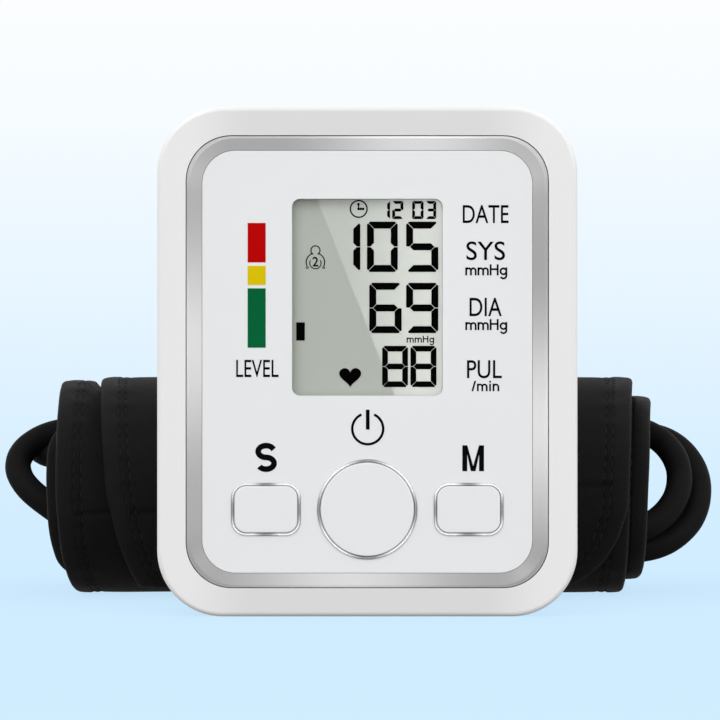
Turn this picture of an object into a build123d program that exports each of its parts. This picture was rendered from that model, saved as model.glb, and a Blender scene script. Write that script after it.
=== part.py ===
from build123d import *
import os
from math import atan2, cos, degrees, radians, sin

# Upper arm blood pressure monitor with its rolled cuff and hose, in millimetres.
# The monitor stands on its lower edge. The origin is the centre of that standing face,
# +X is to the right, +Y points to the back and +Z up. A depth is measured from the front plane.

os.makedirs("parts", exist_ok=True)

# ---- housing ----
HOUSING_W = 99.0
HOUSING_H = 120.0
HOUSING_R = 15.5
BASE_DEPTH = 40.0
TOP_DEPTH = 48.0
PARTING_DEPTH = 24.0
WALL = 2.4
FRONT_EDGE = 1.1
REAR_EDGE = 4.0
FRONT_Y = -BASE_DEPTH / 2
MID_Z = HOUSING_H / 2
SLACK = 0.2

# ---- screws ----
CLAMP_BORE_R = 1.25
CLAMP_BORE_L = 11.0
CLAMP_THREAD_R = 1.2
CLAMP_THREAD_L = 20.0
CLAMP_HEAD_R = 2.7
CLAMP_HEAD_T = 2.0
CLAMP_SEAT = 34.0
CLAMP_WELL_R = 3.1
CLAMP_HOLE_R = 1.6
DRIVE_L = 3.4
DRIVE_W = 0.7
BOARD_BORE_R = 1.0
BOARD_BORE_L = 5.5
BOARD_THREAD_R = 0.95
BOARD_THREAD_L = 5.0
BOARD_HOLE_R = 1.2
BOARD_HEAD_R = 1.9
BOARD_HEAD_T = 1.4
HEAD_EDGE = 0.5

# ---- front: bezel ring, panel, window and keys ----
RECESS_W = 85.5
RECESS_H = 106.6
RECESS_R = 10.8
RING_SLOPE_W = 2.9
RING_TOP = 0.3
PANEL_W = 77.8
PANEL_H = 99.5
PANEL_R = 7.8
PANEL_TOP = 1.3
PANEL_SEAT = 3.3
FRONT_WALL_BACK = 5.3
WINDOW_W = 35.4
WINDOW_H = 46.3
WINDOW_R = 1.9
WINDOW_Z = 75.2
WINDOW_TOP = 1.45
WINDOW_STEP = 2.3
WINDOW_FLANGE = 1.6
KEY_Z = 25.2
KEY_TOP = 1.0
KEY_FLANGE_TOP = 5.9
KEY_FLANGE_BACK = 6.9
TRIM_TOP = 0.95
TRIM_W = 0.55
KEY_GAP = 0.12
KEY_STEM_R = 2.0
KEY_EDGE = 0.35
KEY_FLANGE_W = 0.7
TRIM_EDGE = 0.15
# name: centre x, width, height, corner radius of the trim ring around the key
KEYS = {
    "start": (0.0, 23.5, 23.5, 11.75),
    "set": (-23.9, 16.3, 12.4, 3.5),
    "memory": (23.9, 16.3, 12.4, 3.5),
}

# ---- display stack, switches and circuit board ----
GLASS_W = 40.0
GLASS_H = 52.0
GLASS_TOP = 3.4
GLASS_BACK = 5.6
HOLDER_RIM = 2.0
HOLDER_PLATE = 1.4
ZEBRA_W = 36.0
ZEBRA_T = 1.8
ZEBRA_INSET = 1.8
BOARD_TOP = 12.0
BOARD_BACK = 13.6
BOARD_W = 88.0
BOARD_H = 104.0
BOARD_R = 3.0
POST_R = 2.75
POST_POINTS = [(-39.5, 24), (39.5, 24), (-39.5, 96), (39.5, 96)]
BOSS_R = 3.5
BOSS_POINTS = [(-38, 11.5), (38, 11.5), (-38, 108.5), (38, 108.5)]
SWITCH_TOP = 8.5
SWITCH_SIDE = 6.0
PLUNGER_R = 1.7
PLUNGER_TOP = 7.7
PLUNGER_BACK = 10.5
PLUNGER_ROOM = 0.7
RUNNING_GAP = 0.05

# ---- parts on the circuit board ----
CHIP_SIDE = 12.0
CHIP_Z = 82.0
CHIP_LIFT = 0.2
CHIP_T = 1.4
CHIP_LEAD_W = 0.4
CHIP_LEAD_L = 2.0
CHIP_LEADS = 11
CHIP_LEAD_PITCH = 1.0
SENSOR_W = 10.0
SENSOR_H = 8.0
SENSOR_T = 4.0
SENSOR_NIPPLE_END = 21.0
BUZZER_POINT = (30, 44)
BUZZER_R = 6.0
BUZZER_T = 6.0
BUZZER_HOLE_L = 3.0
CAPACITOR_POINTS = [(-31, 70), (-31, 79), (-31, 88)]
CAPACITOR_R = 3.15
CAPACITOR_T = 8.0
PORT_POINT = (FRONT_Y + 15.25, 35)
PORT_FACE_X = 48.3
PORT_BACK_X = 40.0
PORT_W = 3.2
PORT_H = 9.0
PORT_WALL = 0.3
PORT_HOLE_GAP = 0.3
PORT_TONGUE = (0.7, 6.4, 7.3)

# ---- air line inside the monitor ----
AIR_DEPTH = 30.0
AIR_Z = 46.0
NIPPLE_R = 1.45
TUBE_R = 2.6
TUBE_BORE_R = 1.5
MANIFOLD_HALF = 26.0
MANIFOLD_SIDE = 8.0
TEE_X = 22.0
SOCKET_R = 5.0
SOCKET_BORE_R = 2.4
SOCKET_BORE_L = 8.4
SOCKET_FACE_X = -HOUSING_W / 2 + 0.1
SOCKET_BACK_X = -40.0
PUMP_DEPTH = 26.0
PUMP_Z = 15.0
PUMP_R = 10.0
PUMP_HALF = 12.0
PUMP_WALL = 1.0
PUMP_HEAD_END = -30.0
PUMP_HEAD_WALL = 4.0
SHAFT_R = 1.0
SHAFT_END = -22.0
SHAFT_TIP = 12.8
ARMATURE_R = 7.5
ARMATURE_HALF = 8.0
CAM_R = 3.0
CAM_SHIFT = 1.2
CAM_SPAN = (-20.0, -15.0)
CRADLE_SIZE = (18.0, 13.0)
VALVE_Z = 9.6
VALVE_SIDE = 14.0
VALVE_START_X = 16.0
VALVE_END_X = 32.0
VALVE_FLOOR = 2.0
VALVE_BORE_R = 3.05
VALVE_TRAVEL_ROOM = 2.0
VALVE_REACH = 1.4
NIPPLE_L = 4.0
LEAD_R = 0.6
LEAD_BEND = 2.5
LEAD_TURN_X = 15.0
LEAD_SPREAD = 5.0

# ---- batteries ----
DOOR_W = 50.0
DOOR_H = 54.0
DOOR_T = 1.9
DOOR_BASE = 58.7
DOOR_GAP = 0.3
BAY_W = 46.0
BAY_H = 50.4
BAY_DEPTH = 14.5
CELL_R = 5.2
CELL_L = 43.5
CELL_PITCH = 11.5
CELL_INSET = 7.9
NUB_R = 1.9
NUB_L = 1.0
CONTACT_T = 0.4
CONTACT_W = 9.5
CONTACT_PAIR_W = 20.5
CONTACT_H = 9.0
SPRING_WIRE_R = 0.4
SPRING_R = 3.4
SPRING_TAPER = 0.9
SPRING_RINGS = 3
BAY_WALL = 1.6
BAY_RIM = 3.0
DOOR_R = 2.0
GRIP_SLOT = (14.0, 1.0)
GRIP_PITCH = 2.4
GRIP_INSET = 7.0
GRIP_DEPTH = 0.5
RIB_W = 1.2
FINGER_SLOT = (16.0, 3.4)
FOOT_R = 4.5
FOOT_SINK = 0.7
FOOT_T = 1.7

# ---- cuff, rolled up behind the monitor ----
CUFF_GAP = 55.0
CUFF_T = 3.0
LAYER_STEP = 1.7
OUTER_R = 28.2
FLAT_RUN = 18.0
FRONT_AXIS = (FRONT_Y + CUFF_GAP + OUTER_R + CUFF_T / 2, 26.3)
BACK_AXIS = (FRONT_AXIS[0] + FLAT_RUN, 28.0)
FREE_END_ANGLE = 230
INNER_END_ANGLE = -50
HALF_TURNS = 6
# first half turn, left edge x, right edge x
WIDTHS = [(0, -66.0, 66.7), (2, -78.5, 68.5), (4, -83.0, 73.5)]
BLADDER_HALF_T = 0.3
BLADDER_LEFT = -60.0
BLADDER_RIGHT = 52.0

# ---- ring at the cuff's inner end ----
RING_WIRE_R = 1.5
RING_LEFT = -72.0
RING_RIGHT = 62.0
RING_REACH = 11.0
RING_BEND = 4.0
RING_PIVOT_R = 18.3
RING_PIVOT_ANGLE = -60
HEM_BORE_R = RING_WIRE_R + 0.06
HEM_R = 2.9
HEM_LEFT = -58.0
HEM_RIGHT = 48.0

# ---- hose, wound twice through the roll ----
HOSE_D = 6.8
COIL_LEFT = -91.3
COIL_RIGHT = 84.6
COIL_SPAN = 35.0
COIL_TILT = 48.4
COIL_HALF_T = 6.9
COIL_EDGE = 3.3
COIL_CENTRE = ((COIL_LEFT + COIL_RIGHT) / 2, FRONT_Y + 93.65, 26.3)
FITTING_X = 8.0
FITTING_Y = FRONT_Y + 94.0
FITTING_Z = 16.8
FITTING_R = 3.2
FITTING_FLANGE_R = 5.0
FITTING_FLANGE_T = 1.2
BARB_L = 6.0
BARB_ROOM = 7.0
NIPPLE_END_X = 17.0
LINING_Z = 2 * LAYER_STEP + CUFF_T
LEAD_END_X = 80.5
TAIL_Y = FRONT_Y + 95.6
TAIL_Z = 33.9
TAIL_START_X = -87.2
PLUG_X = -30.0
PLUG_R = 4.6
PLUG_L = 20.0
PLUG_EDGE = 0.8
COLLAR_T = 1.5
COLLAR_R = 5.8
NOZZLE_R = 2.3
NOZZLE_L = 9.0

TILT = degrees(atan2(TOP_DEPTH - BASE_DEPTH, HOUSING_H))
UP_REAR = (0, sin(radians(TILT)), cos(radians(TILT)))


def facing(depth):
    """Plane looking out of the front at a depth: local x is +X, local y is +Z."""
    return Plane(origin=(0, FRONT_Y + depth, 0), x_dir=(1, 0, 0), z_dir=(0, -1, 0))


def rear_face(inset):
    """Plane looking out of the sloping back, an inset below it: local y climbs the slope."""
    outward = (0, cos(radians(TILT)), -sin(radians(TILT)))
    plane = Plane(origin=(0, FRONT_Y + BASE_DEPTH, 0), x_dir=(-1, 0, 0), z_dir=outward)
    return plane.offset(-inset)


def rear_depth(z):
    """Depth of the sloping back at a height."""
    return BASE_DEPTH + (TOP_DEPTH - BASE_DEPTH) * z / HOUSING_H


def side(x):
    """Plane looking along +X: local x is +Y, local y is +Z."""
    return Plane.YZ.offset(x)


def centred(width, height, radius, z):
    """Rounded rectangle centred across the monitor at a height."""
    with Locations((0, z)):
        RectangleRounded(width, height, radius)


def key_outline(name, growth):
    """Outline of a key's trim ring, grown evenly by an amount."""
    x, width, height, radius = KEYS[name]
    with Locations((x, KEY_Z)):
        if width == height:
            Circle(radius + growth)
        else:
            RectangleRounded(width + 2 * growth, height + 2 * growth, radius + growth)


def port_outline(growth, mode=Mode.ADD):
    """Rounded outline of the power inlet's shell, grown evenly by an amount."""
    width = PORT_W + 2 * growth
    RectangleRounded(width, PORT_H + 2 * growth, width / 2 - 0.1, mode=mode)


# ---- front housing: outer frame, seat for the panel, posts and bosses ----
with BuildPart() as front_housing:
    with BuildSketch(facing(PARTING_DEPTH)):
        centred(HOUSING_W, HOUSING_H, HOUSING_R, MID_Z)
    extrude(amount=PARTING_DEPTH)
    front_face = front_housing.faces().sort_by(Axis.Y)[0]
    fillet(front_face.outer_wire().edges(), FRONT_EDGE)
    with BuildSketch(facing(PARTING_DEPTH)):
        centred(HOUSING_W - 2 * WALL, HOUSING_H - 2 * WALL, HOUSING_R - WALL, MID_Z)
    extrude(amount=PARTING_DEPTH - FRONT_WALL_BACK, mode=Mode.SUBTRACT)
    with BuildSketch(facing(PANEL_SEAT)):
        centred(RECESS_W, RECESS_H, RECESS_R, MID_Z)
    extrude(amount=PANEL_SEAT, mode=Mode.SUBTRACT)
    with BuildSketch(facing(FRONT_WALL_BACK)):
        with Locations((0, WINDOW_Z)):
            Rectangle(GLASS_W + 2 * SLACK, GLASS_H + 2 * SLACK)
        for key_name in KEYS:
            key_outline(key_name, -TRIM_W + 0.1)
    extrude(amount=FRONT_WALL_BACK - PANEL_SEAT, mode=Mode.SUBTRACT)
    with BuildSketch(facing(PARTING_DEPTH)):
        with Locations(*BOSS_POINTS):
            Circle(BOSS_R)
    extrude(amount=PARTING_DEPTH - FRONT_WALL_BACK)
    with BuildSketch(facing(BOARD_TOP)):
        with Locations(*POST_POINTS):
            Circle(POST_R)
    extrude(amount=BOARD_TOP - FRONT_WALL_BACK)
    with BuildSketch(facing(PARTING_DEPTH)):
        with Locations(*BOSS_POINTS):
            Circle(CLAMP_BORE_R)
    extrude(amount=CLAMP_BORE_L, mode=Mode.SUBTRACT)
    with BuildSketch(facing(BOARD_TOP)):
        with Locations(*POST_POINTS):
            Circle(BOARD_BORE_R)
    extrude(amount=BOARD_BORE_L, mode=Mode.SUBTRACT)
    with BuildSketch(side(HOUSING_W / 2)):
        with Locations(PORT_POINT):
            port_outline(PORT_HOLE_GAP)
    extrude(amount=-2 * WALL, mode=Mode.SUBTRACT)
front_housing.part.label = "front_housing"

# ---- silver ring that slopes down to the panel ----
with BuildPart() as bezel_ring:
    with BuildSketch(facing(PANEL_SEAT)):
        centred(RECESS_W - 0.4, RECESS_H - 0.4, RECESS_R - 0.2, MID_Z)
        with Locations((0, MID_Z)):
            RectangleRounded(PANEL_W + SLACK, PANEL_H + SLACK, PANEL_R + 0.1, mode=Mode.SUBTRACT)
    extrude(amount=PANEL_SEAT - RING_TOP)
    with BuildSketch(facing(PANEL_TOP)):
        centred(PANEL_W + SLACK, PANEL_H + SLACK, PANEL_R + 0.1, MID_Z)
    with BuildSketch(facing(RING_TOP - 0.02)):
        centred(PANEL_W + 2 * RING_SLOPE_W, PANEL_H + 2 * RING_SLOPE_W, PANEL_R + RING_SLOPE_W, MID_Z)
    loft(mode=Mode.SUBTRACT)
bezel_ring.part.label = "bezel_ring"

# ---- white panel with its window and key openings ----
with BuildPart() as front_panel:
    with BuildSketch(facing(PANEL_SEAT)):
        centred(PANEL_W, PANEL_H, PANEL_R, MID_Z)
        with Locations((0, WINDOW_Z)):
            RectangleRounded(WINDOW_W + 0.1, WINDOW_H + 0.1, WINDOW_R, mode=Mode.SUBTRACT)
    extrude(amount=PANEL_SEAT - PANEL_TOP)
    with BuildSketch(facing(PANEL_SEAT)):
        for key_name in KEYS:
            key_outline(key_name, 0.05)
    extrude(amount=PANEL_SEAT - PANEL_TOP, mode=Mode.SUBTRACT)
    with BuildSketch(facing(PANEL_SEAT)):
        with Locations((0, WINDOW_Z)):
            Rectangle(WINDOW_W + 2 * WINDOW_FLANGE + 0.2, WINDOW_H + 2 * WINDOW_FLANGE + 0.2)
    extrude(amount=PANEL_SEAT - WINDOW_STEP, mode=Mode.SUBTRACT)
front_panel.part.label = "front_panel"

# ---- clear stepped window, held in the panel from behind ----
with BuildPart() as display_window:
    with BuildSketch(facing(PANEL_SEAT)):
        with Locations((0, WINDOW_Z)):
            Rectangle(WINDOW_W + 2 * WINDOW_FLANGE, WINDOW_H + 2 * WINDOW_FLANGE)
    extrude(amount=PANEL_SEAT - WINDOW_STEP)
    with BuildSketch(facing(WINDOW_STEP)):
        centred(WINDOW_W, WINDOW_H, WINDOW_R, WINDOW_Z)
    extrude(amount=WINDOW_STEP - WINDOW_TOP)
display_window.part.label = "display_window"

# ---- liquid crystal cell ----
with BuildPart() as display_glass:
    with BuildSketch(facing(GLASS_BACK)):
        centred(GLASS_W, GLASS_H, 0.5, WINDOW_Z)
    extrude(amount=GLASS_BACK - GLASS_TOP)
display_glass.part.label = "display_glass"

ZEBRA_Z = WINDOW_Z - GLASS_H / 2 + ZEBRA_INSET

# ---- frame that carries the cell above the board ----
with BuildPart() as display_holder:
    with BuildSketch(facing(BOARD_TOP)):
        centred(GLASS_W + 2 * HOLDER_RIM, GLASS_H + 2 * HOLDER_RIM, 1.0, WINDOW_Z)
    extrude(amount=BOARD_TOP - GLASS_BACK)
    with BuildSketch(facing(BOARD_TOP)):
        centred(GLASS_W, GLASS_H - 4 * ZEBRA_INSET, 1.0, WINDOW_Z)
    extrude(amount=BOARD_TOP - GLASS_BACK - HOLDER_PLATE, mode=Mode.SUBTRACT)
    with BuildSketch(facing(BOARD_TOP)):
        with Locations((0, ZEBRA_Z)):
            Rectangle(ZEBRA_W + SLACK, ZEBRA_T + SLACK)
    extrude(amount=BOARD_TOP - GLASS_BACK, mode=Mode.SUBTRACT)
display_holder.part.label = "display_holder"

# ---- rubber strip that joins the cell to the board ----
with BuildPart() as zebra_strip:
    with BuildSketch(facing(BOARD_TOP)):
        with Locations((0, ZEBRA_Z)):
            Rectangle(ZEBRA_W, ZEBRA_T)
    extrude(amount=BOARD_TOP - GLASS_BACK)
zebra_strip.part.label = "zebra_strip"


def make_key(name):
    """Key cap, with a flange that keeps it behind the front wall and a stem to its switch."""
    with BuildPart() as key:
        with BuildSketch(facing(KEY_FLANGE_TOP)):
            key_outline(name, -TRIM_W - KEY_GAP)
        extrude(amount=KEY_FLANGE_TOP - KEY_TOP)
        top = key.faces().sort_by(Axis.Y)[0]
        fillet(top.edges(), KEY_EDGE)
        with BuildSketch(facing(KEY_FLANGE_BACK)):
            key_outline(name, KEY_FLANGE_W)
        extrude(amount=KEY_FLANGE_BACK - KEY_FLANGE_TOP)
        with BuildSketch(facing(PLUNGER_TOP)):
            with Locations((KEYS[name][0], KEY_Z)):
                Circle(KEY_STEM_R)
        extrude(amount=PLUNGER_TOP - KEY_FLANGE_BACK)
    key.part.label = name + "_button"
    return key


def make_trim(name):
    """Bright ring around a key."""
    with BuildPart() as trim:
        with BuildSketch(facing(PANEL_SEAT)):
            key_outline(name, 0)
        extrude(amount=PANEL_SEAT - TRIM_TOP)
        with BuildSketch(facing(PANEL_SEAT)):
            key_outline(name, -TRIM_W)
        extrude(amount=PANEL_SEAT - TRIM_TOP, mode=Mode.SUBTRACT)
        rim = trim.faces().sort_by(Axis.Y)[0]
        chamfer(rim.edges(), TRIM_EDGE)
    trim.part.label = name + "_trim"
    return trim


def make_plunger(name):
    """Small round plunger of the switch under a key."""
    with BuildPart() as plunger:
        with BuildSketch(facing(PLUNGER_BACK)):
            with Locations((KEYS[name][0], KEY_Z)):
                Circle(PLUNGER_R)
        extrude(amount=PLUNGER_BACK - PLUNGER_TOP)
    plunger.part.label = name + "_plunger"
    return plunger


key_pieces = []
for key_name in KEYS:
    key_pieces += [make_key(key_name), make_trim(key_name), make_plunger(key_name)]

# ---- bodies of the three switches ----
with BuildPart() as switch_bodies:
    with BuildSketch(facing(BOARD_TOP)):
        for key_name in KEYS:
            with Locations((KEYS[key_name][0], KEY_Z)):
                RectangleRounded(SWITCH_SIDE, SWITCH_SIDE, 0.5)
    extrude(amount=BOARD_TOP - SWITCH_TOP)
    with BuildSketch(facing(PLUNGER_BACK + PLUNGER_ROOM)):
        for key_name in KEYS:
            with Locations((KEYS[key_name][0], KEY_Z)):
                Circle(PLUNGER_R + RUNNING_GAP)
    extrude(amount=PLUNGER_BACK + PLUNGER_ROOM - SWITCH_TOP, mode=Mode.SUBTRACT)
switch_bodies.part.label = "switch_bodies"

# ---- main circuit board ----
with BuildPart() as main_board:
    with BuildSketch(facing(BOARD_BACK)):
        centred(BOARD_W, BOARD_H, BOARD_R, MID_Z)
        with Locations(*BOSS_POINTS):
            Circle(BOSS_R + 0.7, mode=Mode.SUBTRACT)
        with Locations(*POST_POINTS):
            Circle(BOARD_HOLE_R, mode=Mode.SUBTRACT)
    extrude(amount=BOARD_BACK - BOARD_TOP)
main_board.part.label = "main_board"

# ---- screws that hold the board to its posts ----
with BuildPart() as board_screws:
    with BuildSketch(facing(BOARD_BACK + BOARD_HEAD_T)):
        with Locations(*POST_POINTS):
            Circle(BOARD_HEAD_R)
    extrude(amount=BOARD_HEAD_T)
    heads = board_screws.faces().sort_by(Axis.Y)[-len(POST_POINTS):]
    fillet(heads.edges(), HEAD_EDGE)
    with BuildSketch(facing(BOARD_BACK)):
        with Locations(*POST_POINTS):
            Circle(BOARD_THREAD_R)
    extrude(amount=BOARD_BACK - BOARD_TOP + BOARD_THREAD_L)
board_screws.part.label = "board_screws"

# ---- control chip with its rows of leads ----
with BuildPart() as control_chip:
    with BuildSketch(facing(BOARD_BACK + CHIP_LIFT + CHIP_T)):
        with Locations((0, CHIP_Z)):
            Rectangle(CHIP_SIDE, CHIP_SIDE)
    extrude(amount=CHIP_T)
    with BuildSketch(facing(BOARD_BACK + CHIP_LEAD_W)):
        with Locations((0, CHIP_Z)):
            span = CHIP_SIDE + CHIP_T
            with GridLocations(CHIP_LEAD_PITCH, span, CHIP_LEADS, 2):
                Rectangle(CHIP_LEAD_W, CHIP_LEAD_L)
            with GridLocations(span, CHIP_LEAD_PITCH, 2, CHIP_LEADS):
                Rectangle(CHIP_LEAD_L, CHIP_LEAD_W)
    extrude(amount=CHIP_LEAD_W)
control_chip.part.label = "control_chip"

# ---- pressure sensor with its port towards the manifold ----
with BuildPart() as pressure_sensor:
    with BuildSketch(facing(BOARD_BACK + SENSOR_T)):
        centred(SENSOR_W, SENSOR_H, 0.8, AIR_Z)
    extrude(amount=SENSOR_T)
    with BuildSketch(facing(SENSOR_NIPPLE_END)):
        with Locations((0, AIR_Z)):
            Circle(NIPPLE_R)
    extrude(amount=SENSOR_NIPPLE_END - BOARD_BACK - SENSOR_T)
pressure_sensor.part.label = "pressure_sensor"

# ---- round buzzer ----
with BuildPart() as buzzer:
    with BuildSketch(facing(BOARD_BACK + BUZZER_T)):
        with Locations(BUZZER_POINT):
            Circle(BUZZER_R)
    extrude(amount=BUZZER_T)
    fillet(buzzer.faces().sort_by(Axis.Y)[-1].edges(), HEAD_EDGE)
    with BuildSketch(facing(BOARD_BACK + BUZZER_T)):
        with Locations(BUZZER_POINT):
            Circle(1)
    extrude(amount=BUZZER_HOLE_L, mode=Mode.SUBTRACT)
buzzer.part.label = "buzzer"

# ---- electrolytic capacitors ----
with BuildPart() as capacitors:
    with BuildSketch(facing(BOARD_BACK + CAPACITOR_T)):
        with Locations(*CAPACITOR_POINTS):
            Circle(CAPACITOR_R)
    extrude(amount=CAPACITOR_T)
    tops = capacitors.faces().sort_by(Axis.Y)[-len(CAPACITOR_POINTS):]
    fillet(tops.edges(), HEAD_EDGE)
capacitors.part.label = "capacitors"

# ---- power inlet at the right side ----
with BuildPart() as power_port:
    with BuildSketch(side(PORT_FACE_X)):
        with Locations(PORT_POINT):
            port_outline(0)
            port_outline(-PORT_WALL, Mode.SUBTRACT)
    extrude(amount=PORT_BACK_X - PORT_FACE_X)
    with BuildSketch(side(PORT_BACK_X)):
        with Locations(PORT_POINT):
            port_outline(0)
    extrude(amount=-1)
    with BuildSketch(side(PORT_BACK_X)):
        with Locations(PORT_POINT):
            Rectangle(PORT_TONGUE[0], PORT_TONGUE[1])
    extrude(amount=PORT_TONGUE[2])
power_port.part.label = "power_port"

# ---- rear housing with its battery bay ----
DOOR_MID = DOOR_BASE + DOOR_H / 2
FOOT_POINTS = [(-38, 26), (38, 26), (-38, 92), (38, 92)]
with BuildPart() as rear_housing:
    with BuildSketch(facing(PARTING_DEPTH)):
        centred(HOUSING_W, HOUSING_H, HOUSING_R, MID_Z)
    extrude(amount=PARTING_DEPTH - TOP_DEPTH - 2)
    split(bisect_by=rear_face(0), keep=Keep.BOTTOM)
    fillet(rear_housing.faces().sort_by(Axis.Y)[-1].edges(), REAR_EDGE)
    offset(amount=-WALL, openings=rear_housing.faces().sort_by(Axis.Y)[0])
    for boss_z in sorted({z for x, z in BOSS_POINTS}):
        with BuildSketch(facing(rear_depth(boss_z) - WALL / 2)):
            with Locations(*[point for point in BOSS_POINTS if point[1] == boss_z]):
                Circle(BOSS_R + 0.5)
        extrude(amount=rear_depth(boss_z) - WALL / 2 - PARTING_DEPTH)
    with BuildSketch(rear_face(0.5)):
        centred(DOOR_W + BAY_RIM, DOOR_H + BAY_RIM, BAY_RIM, DOOR_MID)
    extrude(amount=0.5 - BAY_DEPTH - BAY_WALL)
    with BuildSketch(rear_face(0)):
        centred(DOOR_W + 2 * DOOR_GAP, DOOR_H + 2 * DOOR_GAP, DOOR_R + DOOR_GAP, DOOR_MID)
    extrude(amount=-DOOR_T - 0.1, mode=Mode.SUBTRACT)
    with BuildSketch(rear_face(DOOR_T)):
        centred(BAY_W, BAY_H, 1, DOOR_MID)
    extrude(amount=DOOR_T - BAY_DEPTH, mode=Mode.SUBTRACT)
    with BuildSketch(facing(TOP_DEPTH + 2)):
        with Locations(*BOSS_POINTS):
            Circle(CLAMP_WELL_R)
    extrude(amount=TOP_DEPTH + 2 - CLAMP_SEAT, mode=Mode.SUBTRACT)
    with BuildSketch(facing(CLAMP_SEAT)):
        with Locations(*BOSS_POINTS):
            Circle(CLAMP_HOLE_R)
    extrude(amount=CLAMP_SEAT - PARTING_DEPTH, mode=Mode.SUBTRACT)
    with BuildSketch(rear_face(0)):
        with Locations(*FOOT_POINTS):
            Circle(FOOT_R + SLACK)
        with Locations((0, DOOR_BASE + DOOR_H + DOOR_GAP)):
            SlotOverall(*FINGER_SLOT)
    extrude(amount=-FOOT_SINK, mode=Mode.SUBTRACT)
    with BuildSketch(side(-HOUSING_W / 2)):
        with Locations((FRONT_Y + AIR_DEPTH, AIR_Z)):
            Circle(SOCKET_R + 0.1)
    extrude(amount=2 * WALL, mode=Mode.SUBTRACT)
rear_housing.part.label = "rear_housing"

# ---- screws that clamp the two housings ----
with BuildPart() as housing_screws:
    with BuildSketch(facing(CLAMP_SEAT + CLAMP_HEAD_T)):
        with Locations(*BOSS_POINTS):
            Circle(CLAMP_HEAD_R)
    extrude(amount=CLAMP_HEAD_T)
    with BuildSketch(facing(CLAMP_SEAT + CLAMP_HEAD_T)):
        with Locations(*BOSS_POINTS):
            Rectangle(DRIVE_L, DRIVE_W)
            Rectangle(DRIVE_W, DRIVE_L)
    extrude(amount=CLAMP_HEAD_T / 2, mode=Mode.SUBTRACT)
    with BuildSketch(facing(CLAMP_SEAT)):
        with Locations(*BOSS_POINTS):
            Circle(CLAMP_THREAD_R)
    extrude(amount=CLAMP_THREAD_L)
housing_screws.part.label = "housing_screws"

# ---- rubber feet on the back ----
with BuildPart() as rear_feet:
    with BuildSketch(rear_face(FOOT_SINK)):
        with Locations(*FOOT_POINTS):
            Circle(FOOT_R)
    extrude(amount=FOOT_T)
    fillet(rear_feet.faces().sort_by(Axis.Y)[-len(FOOT_POINTS):].edges(), HEAD_EDGE)
rear_feet.part.label = "rear_feet"

# ---- battery door, hinged along its lower outer edge ----
with BuildPart() as battery_door:
    with BuildSketch(rear_face(DOOR_T)):
        centred(DOOR_W, DOOR_H, DOOR_R, DOOR_MID)
    extrude(amount=DOOR_T)
    with BuildSketch(rear_face(0)):
        with Locations((0, DOOR_BASE + DOOR_H - GRIP_INSET)):
            with GridLocations(1, GRIP_PITCH, 1, 3):
                SlotOverall(*GRIP_SLOT)
    extrude(amount=-GRIP_DEPTH, mode=Mode.SUBTRACT)
    with BuildSketch(rear_face(DOOR_T)):
        with Locations((0, DOOR_MID)):
            with GridLocations(2 * CELL_PITCH, 1, 2, 1):
                Rectangle(RIB_W, BAY_H - 10 * RIB_W)
    extrude(amount=-GRIP_DEPTH)
battery_door.part.label = "battery_door"

CELL_COUNT = 4
BAY_BASE = DOOR_MID - BAY_H / 2
CELL_XS = [(index - (CELL_COUNT - 1) / 2) * CELL_PITCH for index in range(CELL_COUNT)]


def bay_plane(x, height):
    """Plane across the battery bay at a height up the slope, centred on one cell."""
    base = rear_face(CELL_INSET)
    origin = base.from_local_coords(Vector(-x, height, 0))
    return Plane(origin=origin, x_dir=(1, 0, 0), z_dir=UP_REAR)


# ---- four cells, every second one upside down ----
SPRING_L = BAY_H - 2 * CONTACT_T - CELL_L - NUB_L
with BuildPart() as battery_cells:
    for index, cell_x in enumerate(CELL_XS):
        nub_up = index % 2 == 0
        base = BAY_BASE + CONTACT_T + (SPRING_L if nub_up else NUB_L)
        with BuildSketch(bay_plane(cell_x, base)):
            Circle(CELL_R)
        extrude(amount=CELL_L)
        nub_base = base + CELL_L if nub_up else base - NUB_L
        with BuildSketch(bay_plane(cell_x, nub_base)):
            Circle(NUB_R)
        extrude(amount=NUB_L)
battery_cells.part.label = "battery_cells"

# ---- springs at the cells' flat ends: three rings of one tapering wire, tied together ----
with BuildPart() as battery_springs:
    for index, cell_x in enumerate(CELL_XS):
        nub_up = index % 2 == 0
        base = BAY_BASE + CONTACT_T
        if not nub_up:
            base = BAY_BASE + BAY_H - CONTACT_T - SPRING_L
        for step in range(SPRING_RINGS):
            share = (step + 0.5) / SPRING_RINGS
            radius = SPRING_R - SPRING_TAPER * (share if nub_up else 1 - share)
            with Locations(bay_plane(cell_x, base + SPRING_L * share)):
                Torus(radius, SPRING_WIRE_R)
        with BuildSketch(bay_plane(cell_x, base)):
            with Locations((SPRING_R - SPRING_WIRE_R, 0)):
                Circle(SPRING_WIRE_R)
        extrude(amount=SPRING_L)
battery_springs.part.label = "battery_springs"

# ---- contact plates at both ends of the bay ----
with BuildPart() as battery_contacts:
    for plate_base in (BAY_BASE, BAY_BASE + BAY_H - CONTACT_T):
        for plate_x in (CELL_XS[0], (CELL_XS[1] + CELL_XS[2]) / 2, CELL_XS[3]):
            wide = plate_x not in CELL_XS
            with BuildSketch(bay_plane(plate_x, plate_base)):
                Rectangle(CONTACT_PAIR_W if wide else CONTACT_W, CONTACT_H)
            extrude(amount=CONTACT_T)
battery_contacts.part.label = "battery_contacts"

PUMP_AXIS = (FRONT_Y + PUMP_DEPTH, PUMP_Z)


def disc(x_start, x_end, radius, centre, mode=Mode.ADD):
    """Round bar or bore along X inside the part that is being built."""
    with BuildSketch(side(x_start)) as section:
        with Locations(centre):
            Circle(radius)
    extrude(section.sketch, amount=x_end - x_start, mode=mode)


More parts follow.
